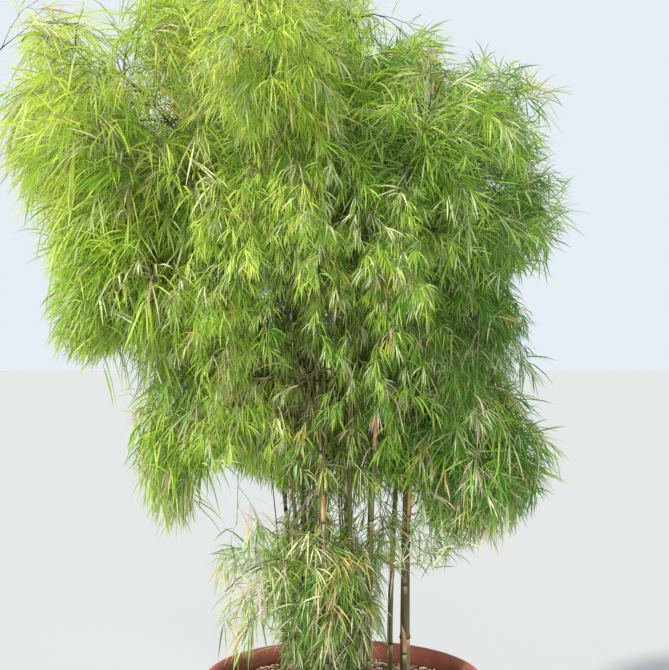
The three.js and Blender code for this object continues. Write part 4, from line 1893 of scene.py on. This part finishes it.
@dataclass
class Foliage:
    """All stems, twigs and leaves of the crown.

    Radii, lengths and places are in metres, turns in degrees. A radius tapers from the first
    value to the second. An edge is the depth in the lobes past which a level is cut off, and how
    much that differs from one to the next. Lesser stems leave the canes at their nodes and at the
    bough roots, which are given as the first share of the length, the last and the step. The
    number of the point at which stems are compared decides which region each is in.
    """

    clump: Clump
    stem_rule: StemRule = StemRule()
    daylight: Daylight = Daylight()
    twigs: Growth = Growth(1, 36, (0.15, 1.0), (22, 66), (0.13, 0.26), 0.3, (0.2, 1.3), 3)
    branchlets: Growth = Growth(1, 23, (0.25, 1.0), (12, 56), (0.03, 0.08), 0.35, (0.1, 0.5), 1)
    leaves: Growth = Growth(6.4, 0, (0.0, 1.0), (10, 62), (0.078, 0.132), 0.0, (0.3, 1.4), 3)
    twig_leaves: Growth = Growth(5, 12, (0.1, 1.0), (20, 80), (0.07, 0.125), 0.0, (0.5, 1.8), 3)
    long_leaves: Growth = Growth(4.4, 0, (0.3, 1.0), (8, 40), (0.082, 0.135), 0.0, (0.2, 1.2), 4)
    leading_steps: int = 6
    region_point: int = 4
    top_droop: float = 40
    top_length: float = 0.150
    tip_droop: float = 90
    tip_length: float = 0.330
    left_widening: float = 0.3
    right_shortening: float = 0.15
    first_wave: float = -1.75
    wave_step: float = 2.4
    droop_power: float = 1.5
    bough_roots: Place = (0.62, 0.995, 0.03)
    root_span: float = 0.02
    stem_radius: Span = (0.0023, 0.0011)
    tail_hang: float = 1.35
    tail_radius: Span = (0.0012, 0.0007)
    tail_length: Span = (0.16, 0.36)
    tail_outward: float = 0.45
    tail_scatter: float = 0.28
    tail_sag: float = 1.2
    trim_depth: float = 0.87
    trim_from: float = 0.3
    trim_steps: int = 15
    twig_radius: Span = (0.0012, 0.0006)
    twig_edge: Span = (0.97, 0.04)
    branchlet_radius: Span = (0.0008, 0.0)
    branchlet_edge: Span = (1.0, 0.04)
    leaf_edge: Span = (1.12, 0.05)
    leaf_width: float = 0.0047
    leaf_width_range: Span = (0.72, 1.15)
    long_leaf_size: float = 1.05
    inner_depth: float = 0.62
    inner_fill: float = 0.37
    # The painted light's scatter, the tints' own scatter, and the scores that part DEEP, MIDDLE, FRESH
    # and LIME.
    light_scatter: float = 0.04
    tint_scatter: float = 0.17
    tint_edges: Place = (0.30, 0.50, 0.74)
    tint_slip: float = 0.12
    dry_left_of: float = -0.3
    dry_above: float = 2.1
    low_below: float = 1.15
    stem_tints: tuple[float, ...] = (0.35, 0.0, 0.6, 0.05)
    twig_tints: tuple[float, ...] = (0.5, 0.24, 0.2, 0.06)
    low_tints: tuple[float, ...] = (0.24, 0.2, 0.12, 0.44)
    crown_low: Place = (-1.000, -0.860, 0.642)
    crown_high: Place = (0.716, 0.860, 2.700)
    seed: int = 2717
    stems: list[Stem] = field(default_factory=list)
    masses: dict[Region, list[str]] = field(default_factory=dict)

    def add_mass(self, name: str, stem: Stem) -> None:
        """Adds the leading stem of one mass of foliage."""
        self.stems.append(stem)
        self.masses.setdefault(stem.region, []).append(f"foliage_{name}")

    def plan_masses(self) -> None:
        """Lays the leading stems out by the rule of the tiers."""
        for i, cane in enumerate(self.clump.canes):
            if cane.kind is CaneKind.ARCHING:
                self.plan_arching(i, cane)
                continue
            end = degrees(cane.tilt(1.0))
            top = Stem(cane, 1.0, cane.azimuth, end, self.top_droop, self.top_length, Region.TOP)
            self.add_mass(f"{cane.name}_tip", top)
        for mass in LOW_MASSES:
            cane = self.clump.canes[mass.cane - 1]
            azimuth = cane.azimuth + mass.turn
            stem = Stem(cane, mass.share, azimuth, mass.tilt, mass.droop, mass.length, Region.LOW)
            self.add_mass(mass.name, stem)

    def plan_arching(self, i: int, cane: Cane) -> None:
        """Lays out the three leading stems of an arching cane: tip, upper and middle.

        Args:
            i: The cane's number, counted from 0.
            cane: The cane.
        """
        left = -cos(radians(cane.azimuth))
        side = 1 if i % 2 == 0 else -1
        wave = sin(self.first_wave + self.wave_step * i)
        far = 1 + self.left_widening * max(left, 0.0)
        near = 1 - self.right_shortening * max(-left, 0.0)
        back = "BACK" if sin(radians(cane.azimuth)) > 0 else "FRONT"
        quarter = f"{back}_{'LEFT' if left > 0 else 'RIGHT'}"
        end = degrees(cane.tilt(1.0))
        droop, length = self.tip_droop * far, self.tip_length * far * near
        tip = Stem(cane, 1.0, cane.azimuth, end, droop, length, Region[f"TIPS_{quarter}"])
        self.add_mass(f"{cane.name}_tip", tip)
        for tier in TIERS:
            wider = far if tier.widens else 1
            stem = Stem(
                cane=cane,
                share=tier.share + tier.wave * wave,
                azimuth=cane.azimuth + tier.turn * side,
                tilt=tier.tilt * wider,
                droop=tier.droop,
                length=tier.length * wider,
                region=Region[f"{tier.name.upper()}_{quarter}"],
            )
            self.add_mass(f"{cane.name}_{tier.name}", stem)

    def leading_stems(self) -> np.ndarray:
        """The points of the leading stems, each in its own upright plane.

        Returns:
            The points, as stems by points by 3.
        """
        steps = self.leading_steps
        shares = (np.arange(steps) + 0.5) / steps
        start = np.array([stem.cane.at(stem.share) for stem in self.stems])
        azimuth = np.radians([stem.azimuth for stem in self.stems])[:, None].repeat(steps, axis=1)
        droops = [share**self.droop_power for share in shares]
        tilt = np.radians([[stem.tilt + stem.droop * d for d in droops] for stem in self.stems])
        length = np.array([stem.length for stem in self.stems])
        walk = np.cumsum(headings(azimuth, tilt) * (length / steps)[:, None, None], axis=1)
        return np.concatenate([start[:, None], start[:, None] + walk], axis=1)

    def roots(self, leading: np.ndarray) -> tuple[np.ndarray, np.ndarray]:
        """Where lesser stems may leave the canes and leading stems.

        Args:
            leading: The leading stems' points.

        Returns:
            The places, and the way in which their parents run there.
        """
        places, ways = [], []
        for cane in [*self.clump.canes, *self.clump.shoots]:
            shares = [*cane.nodes(), *np.arange(*self.bough_roots)]
            places += [cane.at(share) for share in shares]
            spans = [(cane.at(s - self.root_span), cane.at(s + self.root_span)) for s in shares]
            ways += [unit(high - low) for low, high in spans]
        for path in leading:
            places += [(path[k] + path[k + 1]) / 2 for k in range(1, len(path) - 1)]
            ways += [unit(path[k + 1] - path[k]) for k in range(1, len(path) - 1)]
        return np.array(places), np.array(ways)

    def lesser_stems(
        self, leading: np.ndarray, rng: np.random.Generator
    ) -> tuple[np.ndarray, np.ndarray]:
        """Arching stems from the nearest fit nodes to places spread through the lobes.

        Args:
            leading: The leading stems' points.
            rng: The seeded source of the places.

        Returns:
            The stems' points, and how far their lobes droop.
        """
        ends, hangs = self.stem_rule.places(rng)
        roots, ways = self.roots(leading)
        chosen = self.stem_rule.chosen(ends, hangs, roots, rng)
        stems = self.stem_rule.bent(roots[chosen], ways[chosen], ends)
        kept = self.stem_rule.fit(stems)
        for opening in OPENINGS:
            kept &= ~opening.dropped(ends, rng)
        return stems[kept], hangs[kept]

    def tails(self, stems: np.ndarray, rng: np.random.Generator) -> np.ndarray:
        """Thin ends that hang from the tips of drooping stems like a curtain.

        Args:
            stems: The drooping stems' points.
            rng: The seeded source of their differences.

        Returns:
            The tails' points, as many to each as a stem has.
        """
        start = stems[:, -1]
        count = len(start)
        out = unit(start * [1.0, 1.0, 0.0])
        scatter = self.tail_scatter * rng.normal(size=(count, 3))
        way = unit(DOWN + self.tail_outward * out + scatter)
        length = rng.uniform(*self.tail_length, count)
        sag = np.full(count, self.tail_sag)
        return Paths.sagging(start, way, length, sag, self.stem_rule.steps, {}).points

    def trimmed(self, points: np.ndarray) -> np.ndarray:
        """Cuts stems back to where they leave the lobes.

        Args:
            points: The stems' points.

        Returns:
            The points of the shortened stems, as many as before.
        """
        paths = Paths(points, {})
        numbers = np.arange(len(points))
        ends = np.full(len(points), self.trim_from)
        for share in np.linspace(self.trim_from, 1.0, self.trim_steps):
            spots, _ = paths.at(numbers, np.full(len(points), share))
            ends = np.where(crown_depth(spots) < self.trim_depth, share, ends)
        steps = np.linspace(0.0, 1.0, points.shape[1])
        return np.stack([paths.at(numbers, ends * step)[0] for step in steps], axis=1)

    def all_stems(self, rng: np.random.Generator) -> Paths:
        """Grows all stems; each lies in the region of the leading stem that it runs nearest to.

        Args:
            rng: The seeded source of their differences.

        Returns:
            The stems, marked with their region and what their lobe gives to the sprays on them.
        """
        leading = self.leading_stems()
        lesser, hangs = self.lesser_stems(leading, rng)
        tails = self.tails(lesser[hangs > self.tail_hang], rng)
        points = self.trimmed(np.concatenate([leading, lesser, tails]))
        count, ends = len(points), points[:, -1]
        regions = np.array([number(stem.region) for stem in self.stems])
        apart = points[:, None, self.region_point] - leading[None, :, self.region_point]
        nearest = np.linalg.norm(apart, axis=-1).argmin(axis=1)
        lobe = np.array([one.depth(ends) for one in LOBES]).argmin(axis=0)
        given = {
            key: np.array([getattr(one, key) for one in LOBES])[lobe]
            for key in ("size", "hang", "fill", "light")
        }
        light = self.daylight.at(ends, given["light"])
        marks = {
            **given,
            "region": regions[nearest],
            "light": light + rng.normal(0.0, self.light_scatter, count),
            "tint": np.zeros(count, dtype=int),
            "tail": np.arange(count) >= count - len(tails),
        }
        log.info("%d leading stems, %d lesser stems, %d tails", len(leading), len(lesser), len(tails))
        return Paths(points, marks)

    def within(self, paths: Paths, edge: Span, rng: np.random.Generator) -> Paths:
        """Keeps the paths that end inside the crown's lobes and lie inside its box.

        Args:
            paths: The paths.
            edge: The depth at which one's end is too far out, and how much that differs.
            rng: The seeded source of the differences.

        Returns:
            The paths that stay.
        """
        edges = rng.normal(*edge, len(paths))
        low, high = np.array(self.crown_low), np.array(self.crown_high)
        inside = ((paths.points > low) & (paths.points < high)).all(axis=(1, 2))
        return paths.kept(inside & (crown_depth(paths.ends) + raggedness(paths.ends) < edges))

    def thinned(self, twigs: Paths, rng: np.random.Generator) -> Paths:
        """Thins the twigs in the middle of the crown and in its openings.

        Args:
            twigs: The twigs.
            rng: The seeded source of what stays.

        Returns:
            The twigs that stay.
        """
        inner = crown_depth(twigs.ends) < self.inner_depth
        fill = twigs.marks["fill"] * np.where(inner, self.inner_fill, 1.0)
        twigs = twigs.kept(rng.random(len(twigs)) < fill)
        for opening in OPENINGS:
            twigs = twigs.kept(~opening.dropped(twigs.ends, rng))
        return twigs

    def deal_tints(self, sprays: Paths, rng: np.random.Generator) -> None:
        """Paints light and shade: deals each spray a leaf tint, DEEP to LIME, by the painted light of
        its place.
        """
        score = sprays.marks["light"] + rng.normal(0.0, self.tint_scatter, len(sprays))
        sprays.marks["tint"] = np.digitize(score, self.tint_edges)

    def vary(self, paths: Paths, rng: np.random.Generator) -> None:
        """Deals another tint here and there: straw and sage low down, dry sprays high on the left.

        Args:
            paths: The sprays.
            rng: The seeded source of the choices.
        """
        dice = rng.random(len(paths))
        tint = paths.marks["tint"]
        dry = (paths.ends[:, 0] < self.dry_left_of) & (paths.ends[:, 2] > self.dry_above)
        low = paths.ends[:, 2] < self.low_below
        slip = self.tint_slip
        tint = np.where(dice < slip, np.maximum(tint - 1, 0), tint)
        lighter = np.minimum(tint + 1, number(LeafTint.LIME))
        tint = np.where((dice > slip) & (dice < 2 * slip), lighter, tint)
        floor = np.full(len(paths), 2 * slip)
        for stray in STRAYS:
            share = np.where(low, stray.low, np.where(dry, stray.dry, stray.share))
            strays = (dice >= floor) & (dice < floor + share)
            tint = np.where(strays, number(stray.tint), tint)
            floor = floor + share
        paths.marks["tint"] = tint

    def build(self) -> None:
        """Grows the crown level by level and joins it into pieces by region."""
        rng = np.random.default_rng(self.seed)
        self.plan_masses()
        stems = self.all_stems(rng)
        twigs = self.within(self.twigs.grow(stems, rng), self.twig_edge, rng)
        twigs = self.thinned(twigs, rng)
        self.deal_tints(twigs, rng)
        branchlets = self.branchlets.grow(twigs, rng)
        branchlets = self.within(branchlets, self.branchlet_edge, rng)
        self.deal_tints(branchlets, rng)
        self.vary(branchlets, rng)
        long = branchlets.marks["size"] > self.long_leaf_size
        kinds = []
        for growth, carriers in (
            (self.leaves, branchlets.kept(~long)),
            (self.long_leaves, branchlets.kept(long)),
            (self.twig_leaves, twigs),
        ):
            kinds.append(self.within(growth.grow(carriers, rng), self.leaf_edge, rng))
        log.info("%d twigs, %d branchlets, %s leaves", len(twigs), len(branchlets), [*map(len, kinds)])
        tail = stems.marks["tail"]
        levels = [stems.kept(~tail), stems.kept(tail), twigs, branchlets]
        for region in Region:
            self.join_leaves(region, self.of_region(region, kinds), rng)
            self.join_twigs(region, self.of_region(region, levels), rng)

    def of_region(self, region: Region, levels: Sequence[Paths]) -> list[Paths]:
        """The part of each level that lies in a region."""
        return [level.kept(level.marks["region"] == number(region)) for level in levels]

    def join_leaves(self, region: Region, kinds: Sequence[Paths], rng: np.random.Generator) -> None:
        """Joins the leaves of one region into a piece that stands for its masses.

        Args:
            region: The region.
            kinds: Its leaves, by their kind.
            rng: The seeded source of their widths and rolls.
        """
        batch = Batch()
        for leaves in kinds:
            if len(leaves):
                width = self.leaf_width * rng.uniform(*self.leaf_width_range, len(leaves))
                blades(batch, leaves, width * leaves.marks["size"] ** 0.5, rng)
        name, slot = region.value
        settle(batch.piece(f"leaves_{name}", finishes(LeafTint)), self.masses[region])

    def join_twigs(self, region: Region, levels: Sequence[Paths], rng: np.random.Generator) -> None:
        """Joins all but the leaves of one region into a piece.

        Args:
            region: The region.
            levels: Its stems, tails, twigs and branchlets.
            rng: The seeded source of their tints.
        """
        batch = Batch()
        stem_tints, twig_tints = self.stem_tints, self.twig_tints
        if region is Region.LOW:
            stem_tints = twig_tints = self.low_tints
        kinds = (
            (self.stem_radius, stem_tints),
            (self.tail_radius, stem_tints),
            (self.twig_radius, twig_tints),
            (self.branchlet_radius, twig_tints),
        )
        for level, (radii, shares) in zip(levels, kinds):
            tints = rng.choice(len(TwigTint), len(level), p=shares)
            if len(level):
                tubes(batch, level, *radii, tints)
        settle(batch.piece(f"twigs_{region.value[0]}", finishes(TwigTint)))


# Stage


@dataclass(frozen=True)
class Lamp:
    """One light, with its place and aim in metres and its own settings."""

    name: str
    kind: str
    colour: Colour
    energy: float
    place: Place
    aim: Place
    settings: dict[str, float]

    def build(self) -> None:
        """Hangs the light up and points it at its aim."""
        light = bpy.data.lights.new(self.name, self.kind)
        light.color = self.colour
        light.energy = self.energy
        for key, value in self.settings.items():
            setattr(light, key, value)
        lamp = placed(self.name, light)
        lamp.location = self.place
        way = Vector(self.aim) - Vector(self.place)
        lamp.rotation_euler = way.to_track_quat("-Z", "Y").to_euler()


LOW_FILL = Lamp(
    name="fill",
    kind="AREA",
    colour=(1.0, 0.94, 0.84),
    energy=42.0,
    place=(0.1, -3.3, 1.1),
    aim=(0.1, 0.1, 0.72),
    settings={"size": 0.35},
)
RIM_SPOT = Lamp(
    name="rim_light",
    kind="SPOT",
    colour=(1.0, 0.94, 0.86),
    energy=260.0,
    place=(1.5, -2.0, 1.35),
    aim=(0.27, 0.12, 0.61),
    settings={"spot_size": radians(14), "spot_blend": 1.0, "shadow_soft_size": 0.08},
)


@dataclass
class Stage:
    """The pale floor, the soft lights and the camera, in metres and degrees."""

    floor_size: float = 300.0
    floor_colour: Colour = (0.47, 0.48, 0.48)
    sky_colour: Colour = (0.86, 0.93, 1.0)
    sky_strength: float = 0.92
    sun_colour: Colour = (1.0, 0.95, 0.85)
    sun_strength: float = 4.5
    sun_width: float = 4.0
    sun_side: float = 48.0
    sun_rise: float = 35.0
    eye: Place = (-0.024, -3.2, 1.5)
    pitch: float = 1.53
    lens: float = 60.27
    sensor: float = 36.0

    def build(self) -> None:
        """Sets the floor, the sky, the lights and the camera."""
        self.build_floor()
        self.build_sky()
        self.build_sun()
        LOW_FILL.build()
        RIM_SPOT.build()
        self.build_camera()
        bpy.context.scene.view_settings.view_transform = "Standard"

    def build_floor(self) -> None:
        """Lays the floor."""
        bm = bmesh.new()
        bmesh.ops.create_grid(bm, x_segments=1, y_segments=1, size=self.floor_size)
        bmesh_piece("floor", bm, PlainFinish("floor_pale", self.floor_colour, 0.9))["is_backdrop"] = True

    def build_sky(self) -> None:
        """Lights the whole room evenly."""
        world = bpy.data.worlds.new("studio")
        world.use_nodes = True
        background = world.node_tree.nodes["Background"]
        background.inputs["Color"].default_value = (*self.sky_colour, 1.0)
        background.inputs["Strength"].default_value = self.sky_strength
        bpy.context.scene.world = world

    def build_sun(self) -> None:
        """Sets the main light, from the front left."""
        light = bpy.data.lights.new("sun", "SUN")
        light.energy = self.sun_strength
        light.angle = radians(self.sun_width)
        light.color = self.sun_colour
        turn = (radians(90 - self.sun_rise), 0.0, radians(-self.sun_side))
        placed("sun", light).rotation_euler = turn

    def build_camera(self) -> None:
        """Stands the camera where the photograph was taken from."""
        data = bpy.data.cameras.new("camera")
        data.lens = self.lens
        data.sensor_width = self.sensor
        data.dof.use_dof = False
        camera = placed("camera", data)
        camera.location = self.eye
        camera.rotation_euler = (radians(90 + self.pitch), 0.0, 0.0)
        bpy.context.scene.camera = camera


def corners() -> list[list[float]]:
    """The shown object's lowest and highest corners as plain lists."""
    return [[float(value) for value in corner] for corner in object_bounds()]


def main() -> None:
    """Builds the pot, the soil, the canes, the foliage and the stage, and logs each piece's faces."""
    logging.basicConfig(level=logging.INFO, format="%(name)s: %(message)s")
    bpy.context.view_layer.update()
    Pot().build()
    Soil().build()
    clump = Clump()
    clump.plan()
    clump.plan_shoots()
    clump.build()
    Foliage(clump).build()
    Stage().build()


if __name__ == "__main__":
    main()
